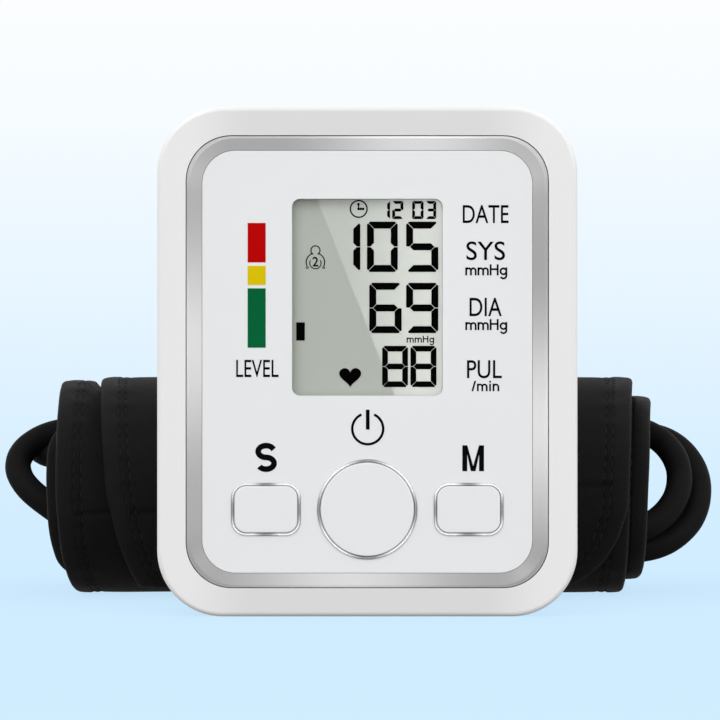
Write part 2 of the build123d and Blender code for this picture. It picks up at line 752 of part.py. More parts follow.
# ---- pump motor can ----
with BuildPart() as pump_motor:
    inside = PUMP_HALF - PUMP_WALL
    disc(-PUMP_HALF, PUMP_HALF, PUMP_R, PUMP_AXIS)
    disc(-inside, inside, PUMP_R - PUMP_WALL, PUMP_AXIS, Mode.SUBTRACT)
    disc(-PUMP_HALF, PUMP_HALF, SHAFT_R + RUNNING_GAP, PUMP_AXIS, Mode.SUBTRACT)
pump_motor.part.label = "pump_motor"

# ---- armature, shaft and the cam that drives the diaphragms ----
with BuildPart() as pump_rotor:
    disc(SHAFT_END, SHAFT_TIP, SHAFT_R, PUMP_AXIS)
    disc(-ARMATURE_HALF, ARMATURE_HALF, ARMATURE_R, PUMP_AXIS)
    disc(*CAM_SPAN, CAM_R, (PUMP_AXIS[0] + CAM_SHIFT, PUMP_AXIS[1]))
pump_rotor.part.label = "pump_rotor"

# ---- pump head with its outlet ----
with BuildPart() as pump_head:
    lid_x = -PUMP_HALF - 1.5 * PUMP_WALL
    disc(PUMP_HEAD_END, -PUMP_HALF, PUMP_R, PUMP_AXIS)
    disc(PUMP_HEAD_END + PUMP_HEAD_WALL, lid_x, PUMP_R - PUMP_HEAD_WALL, PUMP_AXIS, Mode.SUBTRACT)
    disc(lid_x, -PUMP_HALF, SHAFT_R + 2 * SLACK, PUMP_AXIS, Mode.SUBTRACT)
    with BuildSketch(Plane.XY.offset(PUMP_Z + 0.65 * PUMP_R)):
        with Locations((-TEE_X, FRONT_Y + AIR_DEPTH)):
            Circle(NIPPLE_R)
    extrude(amount=0.35 * PUMP_R + NIPPLE_L + 1)
pump_head.part.label = "pump_head"

# ---- rubber cradle under the motor ----
with BuildPart() as pump_cradle:
    with BuildSketch(Plane.XY.offset(WALL)):
        with Locations((0, PUMP_AXIS[0])):
            Rectangle(*CRADLE_SIZE)
    extrude(amount=PUMP_Z - PUMP_R + 2 - WALL)
    disc(-PUMP_HALF, PUMP_HALF, PUMP_R, PUMP_AXIS, Mode.SUBTRACT)
pump_cradle.part.label = "pump_cradle"

# ---- exhaust valve: solenoid body and its moving plunger ----
VALVE_AXIS = (FRONT_Y + AIR_DEPTH, VALVE_Z)
with BuildPart() as valve_body:
    with BuildSketch(side(VALVE_START_X)):
        with Locations(VALVE_AXIS):
            RectangleRounded(VALVE_SIDE, VALVE_SIDE, 1.5)
    extrude(amount=VALVE_END_X - VALVE_START_X)
    disc(VALVE_START_X + VALVE_FLOOR, VALVE_END_X, VALVE_BORE_R, VALVE_AXIS, Mode.SUBTRACT)
    with BuildSketch(Plane.XY.offset(VALVE_Z + VALVE_SIDE / 2 - 0.5)):
        with Locations((TEE_X, VALVE_AXIS[0])):
            Circle(NIPPLE_R)
    extrude(amount=2 * NIPPLE_L + 2)
valve_body.part.label = "valve_body"

with BuildPart() as valve_plunger:
    start_x = VALVE_START_X + VALVE_FLOOR + VALVE_TRAVEL_ROOM
    disc(start_x, VALVE_END_X + VALVE_REACH, VALVE_BORE_R - RUNNING_GAP, VALVE_AXIS)
valve_plunger.part.label = "valve_plunger"

# ---- manifold that joins pump, valve, sensor and socket ----
AIR_CENTRE = (FRONT_Y + AIR_DEPTH, AIR_Z)
MANIFOLD_BASE = AIR_Z - MANIFOLD_SIDE / 2
with BuildPart() as air_manifold:
    with BuildSketch(side(-MANIFOLD_HALF)):
        with Locations(AIR_CENTRE):
            RectangleRounded(MANIFOLD_SIDE, MANIFOLD_SIDE, 1)
    extrude(amount=2 * MANIFOLD_HALF)
    disc(-MANIFOLD_HALF - NIPPLE_L, -MANIFOLD_HALF, NIPPLE_R, AIR_CENTRE)
    with BuildSketch(Plane.XY.offset(MANIFOLD_BASE)):
        with Locations((-TEE_X, AIR_CENTRE[0]), (TEE_X, AIR_CENTRE[0])):
            Circle(NIPPLE_R)
    extrude(amount=-NIPPLE_L)
    with BuildSketch(facing(AIR_DEPTH - MANIFOLD_SIDE / 2)):
        with Locations((0, AIR_Z)):
            Circle(NIPPLE_R)
    extrude(amount=3)
air_manifold.part.label = "air_manifold"

# ---- socket that takes the hose plug, in the left wall ----
with BuildPart() as air_socket:
    disc(SOCKET_FACE_X, SOCKET_BACK_X, SOCKET_R, AIR_CENTRE)
    disc(-HOUSING_W / 2 + WALL, -45.5, SOCKET_R + 1.5, AIR_CENTRE)
    disc(SOCKET_BACK_X, SOCKET_BACK_X + 1.5 * NIPPLE_L, NIPPLE_R, AIR_CENTRE)
    disc(SOCKET_FACE_X, SOCKET_FACE_X + SOCKET_BORE_L, SOCKET_BORE_R, AIR_CENTRE, Mode.SUBTRACT)
air_socket.part.label = "air_socket"


def air_tube(name, plane, length):
    """Short straight silicone tube pushed over two nipples."""
    with BuildPart() as tube:
        with BuildSketch(plane):
            Circle(TUBE_R)
            Circle(TUBE_BORE_R, mode=Mode.SUBTRACT)
        extrude(amount=length)
    tube.part.label = name
    return tube


PUMP_TUBE_BASE = 26.5
VALVE_TUBE_BASE = VALVE_Z + 7.5
TUBE_TOP = MANIFOLD_BASE - 1
pump_tube_plane = Plane((-TEE_X, AIR_CENTRE[0], PUMP_TUBE_BASE))
valve_tube_plane = Plane((TEE_X, AIR_CENTRE[0], VALVE_TUBE_BASE))
air_tubes = [
    air_tube("pump_tube", pump_tube_plane, TUBE_TOP - PUMP_TUBE_BASE),
    air_tube("valve_tube", valve_tube_plane, TUBE_TOP - VALVE_TUBE_BASE),
    air_tube("sensor_tube", Plane((0, FRONT_Y + 18, AIR_Z), (1, 0, 0), (0, 1, 0)), 7.5),
    air_tube("socket_tube", Plane((-39, *AIR_CENTRE), (0, 1, 0), (1, 0, 0)), 12),
]

# ---- the motor's two leads to the board ----
with BuildPart() as motor_leads:
    for lead_z in (PUMP_Z - LEAD_SPREAD, PUMP_Z + LEAD_SPREAD):
        with BuildLine():
            FilletPolyline(
                (PUMP_HALF, PUMP_AXIS[0], lead_z),
                (LEAD_TURN_X, PUMP_AXIS[0], lead_z),
                (LEAD_TURN_X, FRONT_Y + BOARD_BACK, lead_z),
                radius=LEAD_BEND,
            )
        with BuildSketch(Plane((PUMP_HALF, PUMP_AXIS[0], lead_z), (0, 1, 0), (1, 0, 0))):
            Circle(LEAD_R)
        sweep()
motor_leads.part.label = "motor_leads"


def layer_angles(turn, turns, start, end):
    """Start and end angle of one half turn of the roll, run clockwise from the outside in."""
    front = turn % 2 == 0
    first = 270 if front else 90
    last = 90 if front else -90
    return (start if turn == turns[0] else first, end if turn == turns[-1] else last)


def roll_sheet(name, spans, high, low):
    """Rolled sheet between two offsets from the middle of the cloth, fused from its spans.

    A span is its half turns, its start and end angle, and its left and right edge.
    """
    with BuildPart() as sheet:
        for turns, start, end, left, right in spans:
            with BuildSketch(side(left)):
                ends = []
                with BuildLine():
                    for shift in (high, low):
                        arcs = []
                        for turn in turns:
                            axis = FRONT_AXIS if turn % 2 == 0 else BACK_AXIS
                            first, last = layer_angles(turn, turns, start, end)
                            radius = OUTER_R - turn * LAYER_STEP + shift
                            arc = CenterArc(axis, radius, first, last - first)
                            if arcs:
                                Line(arcs[-1] @ 1, arc @ 0)
                            arcs.append(arc)
                        ends.append((arcs[0] @ 0, arcs[-1] @ 1))
                    Line(ends[0][0], ends[1][0])
                    Line(ends[0][1], ends[1][1])
                make_face()
            extrude(amount=right - left)
    sheet.part.label = name
    return sheet


CUFF_SPANS = [
    (range(turn, HALF_TURNS), 270 if turn else FREE_END_ANGLE, INNER_END_ANGLE, left, right)
    for turn, left, right in WIDTHS
]
BLADDER_SPANS = [(range(2, 5), 250, 110, BLADDER_LEFT, BLADDER_RIGHT)]
cuff_shell = roll_sheet("cuff_shell", CUFF_SPANS, CUFF_T / 2, BLADDER_HALF_T)
cuff_lining = roll_sheet("cuff_lining", CUFF_SPANS, -BLADDER_HALF_T, -CUFF_T / 2)
cuff_bladder = roll_sheet("cuff_bladder", BLADDER_SPANS, BLADDER_HALF_T, -BLADDER_HALF_T)

# ---- wire ring at the inner end, and the hem it turns in ----
RING_AXIS = (
    BACK_AXIS[0] + RING_PIVOT_R * cos(radians(RING_PIVOT_ANGLE)),
    BACK_AXIS[1] + RING_PIVOT_R * sin(radians(RING_PIVOT_ANGLE)),
)
RING_DROP = RING_AXIS[1] - LINING_Z - RING_WIRE_R - 0.15
RING_FAR_Y = RING_AXIS[0] - (RING_REACH**2 - RING_DROP**2) ** 0.5
RING_FAR_Z = RING_AXIS[1] - RING_DROP
with BuildPart() as cuff_ring:
    with BuildLine():
        FilletPolyline(
            (RING_LEFT, RING_AXIS[0], RING_AXIS[1]),
            (RING_RIGHT, RING_AXIS[0], RING_AXIS[1]),
            (RING_RIGHT, RING_FAR_Y, RING_FAR_Z),
            (RING_LEFT, RING_FAR_Y, RING_FAR_Z),
            radius=RING_BEND,
            close=True,
        )
    with BuildSketch(Plane((0, *RING_AXIS), (0, 1, 0), (1, 0, 0))):
        Circle(RING_WIRE_R)
    sweep()
cuff_ring.part.label = "cuff_ring"

with BuildPart() as ring_hem:
    disc(HEM_LEFT, HEM_RIGHT, HEM_R, RING_AXIS)
    disc(HEM_LEFT, HEM_RIGHT, HEM_BORE_R, RING_AXIS, Mode.SUBTRACT)
ring_hem.part.label = "ring_hem"

# ---- fitting that brings the air into the cuff ----
with BuildPart() as cuff_fitting:
    with BuildSketch(Plane.XY.offset(LINING_Z)):
        with Locations((FITTING_X, FITTING_Y)):
            Circle(FITTING_FLANGE_R)
    extrude(amount=FITTING_FLANGE_T)
    with BuildSketch(Plane.XY.offset(LINING_Z)):
        with Locations((FITTING_X, FITTING_Y)):
            Circle(FITTING_R)
    extrude(amount=FITTING_Z + FITTING_R - LINING_Z)
    disc(FITTING_X, NIPPLE_END_X, FITTING_R, (FITTING_Y, FITTING_Z))
    disc(NIPPLE_END_X, NIPPLE_END_X + BARB_L, TUBE_BORE_R, (FITTING_Y, FITTING_Z))
cuff_fitting.part.label = "cuff_fitting"

# ---- hose: lead from the fitting, two turns as one closed form, tail to the plug ----
with BuildPart() as hose_lead:
    nipple_axis = (FITTING_Y, FITTING_Z)
    disc(NIPPLE_END_X, LEAD_END_X, HOSE_D / 2, nipple_axis)
    disc(NIPPLE_END_X, NIPPLE_END_X + BARB_ROOM, TUBE_BORE_R + 0.02, nipple_axis, Mode.SUBTRACT)
hose_lead.part.label = "hose_lead"

COIL_PLANE = Plane(
    origin=COIL_CENTRE,
    x_dir=(1, 0, 0),
    z_dir=(0, -sin(radians(COIL_TILT)), cos(radians(COIL_TILT))),
)
with BuildPart() as hose_coil:
    with BuildSketch(COIL_PLANE):
        SlotOverall(COIL_RIGHT - COIL_LEFT + HOSE_D, COIL_SPAN + HOSE_D)
        SlotOverall(COIL_RIGHT - COIL_LEFT - HOSE_D, COIL_SPAN - HOSE_D, mode=Mode.SUBTRACT)
    extrude(amount=COIL_HALF_T, both=True)
    flat_faces = hose_coil.faces().filter_by(Axis(COIL_CENTRE, COIL_PLANE.z_dir))
    fillet(flat_faces.edges(), COIL_EDGE)
hose_coil.part.label = "hose_coil"

with BuildPart() as hose_tail:
    disc(TAIL_START_X, PLUG_X, HOSE_D / 2, (TAIL_Y, TAIL_Z))
hose_tail.part.label = "hose_tail"

# ---- plug at the free end of the hose ----
with BuildPart() as air_plug:
    disc(PLUG_X, PLUG_X + PLUG_L, PLUG_R, (TAIL_Y, TAIL_Z))
    fillet(air_plug.edges().filter_by(GeomType.CIRCLE), PLUG_EDGE)
    disc(PLUG_X + PLUG_L, PLUG_X + PLUG_L + COLLAR_T, COLLAR_R, (TAIL_Y, TAIL_Z))
    disc(PLUG_X + PLUG_L, PLUG_X + PLUG_L + NOZZLE_L, NOZZLE_R, (TAIL_Y, TAIL_Z))
    chamfer(air_plug.faces().sort_by(Axis.X)[-1].edges(), 0.4)
air_plug.part.label = "air_plug"

pieces = [
    front_housing, bezel_ring, front_panel, display_window, display_glass, display_holder,
    zebra_strip, *key_pieces, switch_bodies, main_board, board_screws, control_chip,
    pressure_sensor, buzzer, capacitors, power_port, rear_housing, housing_screws, rear_feet,
    battery_door, battery_cells, battery_springs, battery_contacts, pump_motor, pump_rotor,
    pump_head, pump_cradle, valve_body, valve_plunger, air_manifold, air_socket, *air_tubes,
    motor_leads, cuff_shell, cuff_lining, cuff_bladder, cuff_ring, ring_hem, cuff_fitting,
    hose_lead, hose_coil, hose_tail, air_plug,
]
for piece in pieces:
    export_step(piece.part, f"parts/{piece.part.label}.step")
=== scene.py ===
from collections import namedtuple
import math

import bmesh
import bpy
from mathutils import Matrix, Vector, noise


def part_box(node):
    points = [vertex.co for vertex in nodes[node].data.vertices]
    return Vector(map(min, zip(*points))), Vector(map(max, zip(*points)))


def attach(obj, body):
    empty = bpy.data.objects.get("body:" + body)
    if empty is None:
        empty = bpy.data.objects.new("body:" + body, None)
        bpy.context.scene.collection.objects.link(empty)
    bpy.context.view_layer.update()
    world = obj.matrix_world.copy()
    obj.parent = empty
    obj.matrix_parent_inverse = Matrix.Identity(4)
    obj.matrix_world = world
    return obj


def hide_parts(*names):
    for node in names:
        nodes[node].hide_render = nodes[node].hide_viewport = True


# Upper arm blood pressure monitor, cuff roll and hose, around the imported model. Everything is in
# metres: +X to the right, +Y to the back, +Z up, origin under the middle of the monitor.

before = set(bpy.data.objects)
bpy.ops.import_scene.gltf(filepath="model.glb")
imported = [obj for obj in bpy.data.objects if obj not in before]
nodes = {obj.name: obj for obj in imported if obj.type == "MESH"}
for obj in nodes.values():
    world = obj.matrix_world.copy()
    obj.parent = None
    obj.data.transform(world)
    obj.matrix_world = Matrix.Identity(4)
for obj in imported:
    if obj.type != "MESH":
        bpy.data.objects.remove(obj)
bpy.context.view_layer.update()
MM = 0.001

# ---------------------------------------- pieces


def middle(node):
    """Centre of a node's box."""
    low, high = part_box(node)
    return tuple((a + b) / 2 for a, b in zip(low, high))


def new_mesh(name, verts, faces, material, smooth=False):
    """Mesh of one material."""
    mesh = bpy.data.meshes.new(name)
    mesh.from_pydata(verts, [], faces)
    mesh.validate()
    mesh.materials.append(material)
    for polygon in mesh.polygons:
        polygon.use_smooth = smooth
    return mesh


def place_object(name, data):
    """Object in the scene for a mesh, curve, light or camera."""
    placed = bpy.data.objects.new(name, data)
    bpy.context.scene.collection.objects.link(placed)
    return placed


def new_piece(name, data, body):
    """Object that rides on a body."""
    piece = place_object(name, data)
    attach(piece, body)
    return piece


# ---------------------------------------- shader nodes


def connect(socket, value):
    """Gives an input a constant, or links it to another node's output."""
    if isinstance(value, bpy.types.NodeSocket):
        socket.id_data.links.new(value, socket)
    else:
        socket.default_value = value


def feed(node, **values):
    """Constants or outputs for a node's inputs, whose names have _ for a space."""
    for name, value in values.items():
        connect(node.inputs[name.replace("_", " ")], value)


def add(tree, kind, **values):
    """New shader node: a name in lower case is a setting, any other is an input."""
    node = tree.nodes.new("ShaderNode" + kind)
    for name, value in values.items():
        if name.islower():
            setattr(node, name, value)
        else:
            feed(node, **{name: value})
    return node


def own_nodes(material):
    """Node tree and Principled shader of a material."""
    return material.node_tree, material.node_tree.nodes["Principled BSDF"]


def new_material(name):
    """Material, its node tree and its Principled shader."""
    material = bpy.data.materials.new(name)
    material.use_nodes = True
    return material, *own_nodes(material)


def calculate(tree, operation, *terms, kind="Math"):
    """Result of a calculation on outputs and constants."""
    node = add(tree, kind, operation=operation)
    for socket, term in zip(node.inputs, terms):
        connect(socket, term)
    return node.outputs["Value"]


def remap(tree, value, start, end, low=0.0, high=1.0, **settings):
    """Value that goes from low to high while another goes from start to end."""
    node = add(tree, "MapRange", Value=value, From_Min=start, From_Max=end, To_Min=low, To_Max=high,
               **settings)
    return node.outputs["Result"]


def mix(tree, share, first, second):
    """Colour between two others."""
    return add(tree, "Mix", data_type="RGBA", Factor=share, A=first, B=second).outputs["Result"]


def ramp(tree, share, *stops):
    """Colour ramp through (position, colour) stops."""
    node = add(tree, "ValToRGB", Fac=share)
    elements = node.color_ramp.elements
    for element, (position, color) in zip(elements, (stops[0], stops[-1])):
        element.position = position
        element.color = color
    for position, color in stops[1:-1]:
        elements.new(position).color = color
    return node


def world_place(tree):
    """The shaded point's place, and its X, Y and Z."""
    place = add(tree, "NewGeometry").outputs["Position"]
    return place, add(tree, "SeparateXYZ", Vector=place).outputs


def grey(level):
    """Grey as RGBA."""
    return (level, level, level, 1.0)


def scaled(color, factor):
    """A colour with its brightness scaled, as RGBA."""
    return tuple(min(1.0, c * factor) for c in color) + (1.0,)


# ---------------------------------------- materials

GRAIN_DEPTH = 0.03 * MM
WEAVE_DEPTH = 0.15 * MM
ONE_WAVE = 0.314  # scale at which the wave texture repeats once per metre


def finish(name, color, rough, tone=0.04, tone_scale=60.0, spread=0.05, grain=2500.0, relief=0.15,
           **sockets):
    """Procedural surface: colour that drifts a little, uneven gloss and a fine grain."""
    material, tree, shader = new_material(name)
    place = add(tree, "TexCoord").outputs["Object"]
    drift = add(tree, "TexNoise", Vector=place, Scale=tone_scale, Detail=3.0).outputs["Fac"]
    tones = ramp(tree, drift, (0.3, scaled(color, 1.0 - tone)), (0.7, scaled(color, 1.0 + tone)))
    gloss = remap(tree, drift, 0.0, 1.0, max(0.0, rough - spread), min(1.0, rough + spread))
    fine = add(tree, "TexNoise", Vector=place, Scale=grain, Detail=2.0).outputs["Fac"]
    bump = add(tree, "Bump", Strength=relief, Distance=GRAIN_DEPTH, Height=fine)
    feed(shader, Base_Color=tones.outputs["Color"], Roughness=gloss, Normal=bump.outputs["Normal"],
         **sockets)
    return material


HOUSING_WHITE = (0.80, 0.80, 0.80)
PANEL_WHITE = (0.775, 0.79, 0.80)
HOUSING_LOOK = {"tone": 0.008, "relief": 0.08, "Coat_Weight": 0.15, "Coat_Roughness": 0.25}
PANEL_LOOK = {"tone": 0.006, "relief": 0.04, "Coat_Weight": 0.2, "Coat_Roughness": 0.2}
MATT = {"Specular_IOR_Level": 0.1}
DEAD_MATT = {"Specular_IOR_Level": 0.0}

HOUSING = finish("housing_white", HOUSING_WHITE, 0.34, **HOUSING_LOOK)
PANEL = finish("panel_white", PANEL_WHITE, 0.30, **PANEL_LOOK)
KEY = finish("key_white", PANEL_WHITE, 0.32, **PANEL_LOOK)
BLACK = finish("black_plastic", (0.022, 0.022, 0.024), 0.45, tone=0.15, grain=3500.0, relief=0.3)
RUBBER = finish("black_rubber", (0.018, 0.018, 0.019), 0.7, tone=0.2, grain=1800.0, relief=0.35)
GREY_RUBBER = finish("grey_rubber", (0.15, 0.15, 0.155), 0.7, tone=0.08, grain=1800.0, relief=0.3)
STEEL = finish("steel", (0.58, 0.58, 0.57), 0.3, tone=0.08, tone_scale=300.0, relief=0.1,
               Metallic=1.0)
SILICONE = finish("silicone", (0.70, 0.71, 0.70), 0.35, tone=0.03, Transmission_Weight=0.25,
                  Subsurface_Weight=0.2)
WIRE = finish("red_wire", (0.42, 0.02, 0.02), 0.4, tone=0.08)
WINDOW = finish("clear_window", (0.02, 0.02, 0.02), 0.08, tone=0.01, spread=0.02, relief=0.01,
                Alpha=0.02, **DEAD_MATT)
LCD_CELL = finish("lcd_cell", (0.452, 0.486, 0.432), 0.5, tone=0.01, relief=0.02, Coat_Weight=1.0,
                  Coat_Roughness=0.0, **MATT)
INK = finish("print_black", (0.0035, 0.0035, 0.0038), 0.6, tone=0.1, **DEAD_MATT)
# painted shadow of the gap where the front and rear housings meet
SEAM = finish("seam_shadow", (0.30, 0.30, 0.31), 0.6, tone=0.05, **MATT)
SEGMENT = finish("lcd_segment", (0.001, 0.001, 0.001), 0.6, tone=0.1, **DEAD_MATT)
RED = finish("print_red", (0.463, 0.0025, 0.003), 0.6, tone=0.04, **DEAD_MATT)
YELLOW = finish("print_yellow", (0.70, 0.52, 0.004), 0.6, tone=0.04, **DEAD_MATT)
GREEN = finish("print_green", (0.003, 0.116, 0.037), 0.6, tone=0.04, **DEAD_MATT)
THREAD = finish("thread", (0.016, 0.016, 0.016), 0.6, tone=0.2, grain=6000.0, relief=0.5, **MATT)
HOSE = finish("hose_rubber", (0.0080, 0.0080, 0.0082), 0.55, tone=0.15, tone_scale=150.0,
              grain=3000.0, relief=0.12, Specular_IOR_Level=0.03)


def frame_white_with_painted_shade():
    """Housing white with painted shade: a little darker along the middle of the top and bottom bars."""
    material = finish("frame_white_with_painted_shade", HOUSING_WHITE, 0.34, **HOUSING_LOOK)
    tree, shader = own_nodes(material)
    axes = world_place(tree)[1]
    centre = middle("front_housing")
    shares = []
    # the distances from the centre between which the painted shade comes in
    for axis, mid, start, end in (("Z", centre[2], 0.044, 0.053), ("X", centre[0], 0.044, 0.026)):
        away = calculate(tree, "ABSOLUTE", calculate(tree, "SUBTRACT", axes[axis], mid))
        shares.append(remap(tree, away, start, end, interpolation_type="SMOOTHSTEP"))
    painted_shade_share = calculate(tree, "MULTIPLY", *shares)
    feed(shader, Base_Color=mix(tree, painted_shade_share, grey(0.80), grey(0.69)))
    return material


def silver_ring():
    """Satin metallised plastic with painted highlights: a painted glint halfway along each of its four
    bars, and painted light that grows upwards.
    """
    low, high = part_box("bezel_ring")
    mid_x, _, mid_z = middle("bezel_ring")
    bar = 2 * MM
    gain_scale = 1.45
    # painted glints: x, z and reach
    painted_glints = (
        (low[0] + bar, mid_z + 0.006, 0.036),
        (high[0] - bar, mid_z - 0.013, 0.036),
        (mid_x + 0.012, high[2] - bar, 0.034),
        (mid_x - 0.004, low[2] + bar, 0.034),
    )
    material = finish("silver_ring", (0.42, 0.42, 0.42), 0.3, tone=0.01, spread=0.03, relief=0.03,
                      Metallic=0.25, Specular_IOR_Level=0.3)
    tree, shader = own_nodes(material)
    place, axes = world_place(tree)
    bright = 0.0
    for x, z, reach in painted_glints:
        away = calculate(tree, "DISTANCE", place, (x, low[1], z), kind="VectorMath")
        patch = remap(tree, away, 0.0, reach, 1.0, 0.0, interpolation_type="SMOOTHSTEP")
        bright = calculate(tree, "MAXIMUM", bright, patch)
    # painted light: the ring's colour brightens towards its top bar
    painted_light_by_height = add(tree, "FloatCurve", Value=remap(tree, axes["Z"], low[2], high[2]))
    points = painted_light_by_height.mapping.curves[0].points
    points[0].location = (0.0, 0.55)
    points[1].location = (1.0, 0.93)
    for share, level in ((0.06, 0.56), (0.14, 0.69), (0.86, 0.69), (0.94, 0.91)):
        points.new(share, level)
    painted_light_by_height.mapping.update()
    silver = add(tree, "VectorMath", operation="SCALE",
                 Vector=mix(tree, bright, grey(0.43), grey(0.77)),
                 Scale=calculate(tree, "MULTIPLY", painted_light_by_height.outputs["Value"], gain_scale))
    feed(shader, Base_Color=silver.outputs["Vector"])
    return material


def trim_with_painted_glints(node):
    """Polished trim with painted highlights: darker along its sides than at its four corners."""
    material = finish(node, (0.90, 0.90, 0.90), 0.2, tone=0.02, spread=0.03, relief=0.02,
                      Metallic=1.0)
    tree, shader = own_nodes(material)
    axes = world_place(tree)[1]
    centre = middle(node)
    up = calculate(tree, "SUBTRACT", axes["Z"], centre[2])
    right = calculate(tree, "SUBTRACT", axes["X"], centre[0])
    angle = calculate(tree, "ARCTAN2", up, right)
    # 1 at the middle of a side, -1 at a corner
    wave = calculate(tree, "COSINE", calculate(tree, "MULTIPLY", angle, 4.0))
    # painted highlights at the corners, darker painted reflection along the sides
    corner = remap(tree, wave, 0.9, -0.4)
    feed(shader, Base_Color=mix(tree, corner, (0.36, 0.36, 0.37, 1.0), grey(0.98)))
    return material


def circuit_board():
    """Green solder mask with lighter copper runs under it."""
    material = finish("board_green", (0.01, 0.14, 0.05), 0.3, tone=0.1)
    tree, shader = own_nodes(material)
    upright = add(tree, "Mapping", Vector=add(tree, "TexCoord").outputs["Object"],
                  Rotation=(math.radians(90), 0.0, 0.0))
    runs = add(tree, "TexBrick", Vector=upright.outputs["Vector"], Scale=260.0, Mortar_Size=0.06,
               Color1=(0.008, 0.12, 0.045, 1.0), Color2=(0.012, 0.15, 0.055, 1.0),
               Mortar=(0.05, 0.30, 0.11, 1.0))
    feed(shader, Base_Color=runs.outputs["Color"])
    return material


def cell_wrap():
    """Battery sleeve: dark blue with a gold band at the positive end, up and down by turns."""
    material = finish("cell_wrap", (0.03, 0.06, 0.20), 0.3, tone=0.05, Coat_Weight=0.3)
    tree, shader = own_nodes(material)
    low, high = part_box("battery_cells")
    cells, band_start = 4.0, 0.74
    axes = world_place(tree)[1]
    height = remap(tree, axes["Z"], low[2], high[2])
    order = remap(tree, axes["X"], low[0], high[0], 0.0, cells)
    turned = calculate(tree, "MODULO", calculate(tree, "FLOOR", order), 2.0)
    from_foot = calculate(tree, "ABSOLUTE", calculate(tree, "SUBTRACT", height, turned))
    bands = ramp(tree, from_foot, (0.0, (0.03, 0.05, 0.18, 1.0)), (band_start, (0.55, 0.36, 0.10, 1.0)))
    bands.color_ramp.interpolation = "CONSTANT"
    feed(shader, Base_Color=bands.outputs["Color"])
    return material


def cloth(name, dark, light, pitch, slope, rough, sheen):
    """Woven cloth: slanted ribs of a twill, crossed by its threads, from the sheet's own lengths."""
    material, tree, shader = new_material(name)
    lay = add(tree, "Attribute", attribute_name="cloth").outputs["Vector"]
    ribs = []
    for angle, spacing in ((slope, pitch), (slope - 90.0, pitch * 0.55)):
        turn = add(tree, "Mapping", Vector=lay, Rotation=(0.0, 0.0, math.radians(angle)))
        wave = add(tree, "TexWave", Vector=turn.outputs["Vector"], Scale=ONE_WAVE / spacing,
                   Distortion=0.6, Detail=2.0, Detail_Scale=3.0)
        ribs.append(wave.outputs["Fac"])
    weave = calculate(tree, "MULTIPLY_ADD", ribs[1], 0.35, ribs[0])
    drift = add(tree, "TexNoise", Vector=lay, Scale=90.0, Detail=4.0).outputs["Fac"]
    worn = calculate(tree, "MULTIPLY_ADD", drift, 0.5, weave)
    tones = ramp(tree, calculate(tree, "MULTIPLY", worn, 0.6), (0.15, dark), (1.0, light))
    bump = add(tree, "Bump", Strength=0.8, Distance=WEAVE_DEPTH, Height=weave)
    feed(shader, Base_Color=tones.outputs["Color"], Normal=bump.outputs["Normal"], Roughness=rough,
         Sheen_Weight=sheen, Sheen_Roughness=0.4, Specular_IOR_Level=0.09)
    return material


NYLON = cloth("nylon_twill", grey(0.0008), grey(0.0118), 0.00055, -42.0, 0.7, 0.02)
LINING = cloth("loop_lining", grey(0.0018), (0.0135, 0.0135, 0.014, 1), 0.0007, 80.0, 0.9, 0.06)
TAPE = cloth("binding_tape", grey(0.0014), grey(0.0148), 0.0005, 44.0, 0.6, 0.02)

# the CAD nodes that stay visible, by material
PAINTED = (
    (frame_white_with_painted_shade(), ("front_housing",)),
    (HOUSING, ("rear_housing", "battery_door")),
    (PANEL, ("front_panel",)),
    (silver_ring(), ("bezel_ring",)),
    (WINDOW, ("display_window",)),
    (LCD_CELL, ("display_glass",)),
    (circuit_board(), ("main_board",)),
    (cell_wrap(), ("battery_cells",)),
    (WIRE, ("motor_leads",)),
    (KEY, ("start_button", "set_button", "memory_button")),
    *((trim_with_painted_glints(trim), (trim,)) for trim in ("start_trim", "set_trim", "memory_trim")),
    (BLACK, ("start_plunger", "set_plunger", "memory_plunger", "display_holder", "switch_bodies",
             "control_chip", "pressure_sensor", "buzzer", "pump_head", "valve_body",
             "air_manifold", "air_socket", "cuff_fitting", "air_plug")),
    (STEEL, ("board_screws", "capacitors", "power_port", "housing_screws", "battery_springs",
             "battery_contacts", "pump_motor", "pump_rotor", "valve_plunger", "cuff_ring")),
    (SILICONE, ("pump_tube", "valve_tube", "sensor_tube", "socket_tube")),
    (RUBBER, ("pump_cradle",)),
    (GREY_RUBBER, ("cuff_bladder", "zebra_strip", "rear_feet")),
)
for material, node_names in PAINTED:
    for node_name in node_names:
        for slot in nodes[node_name].material_slots:
            slot.material = material

# ---------------------------------------- print on the panel

PANEL_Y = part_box("front_panel")[0][1]
LCD_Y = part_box("display_glass")[0][1]
LCD_PRINT_Y = LCD_Y - 0.02 * MM
INK_T = 0.05 * MM


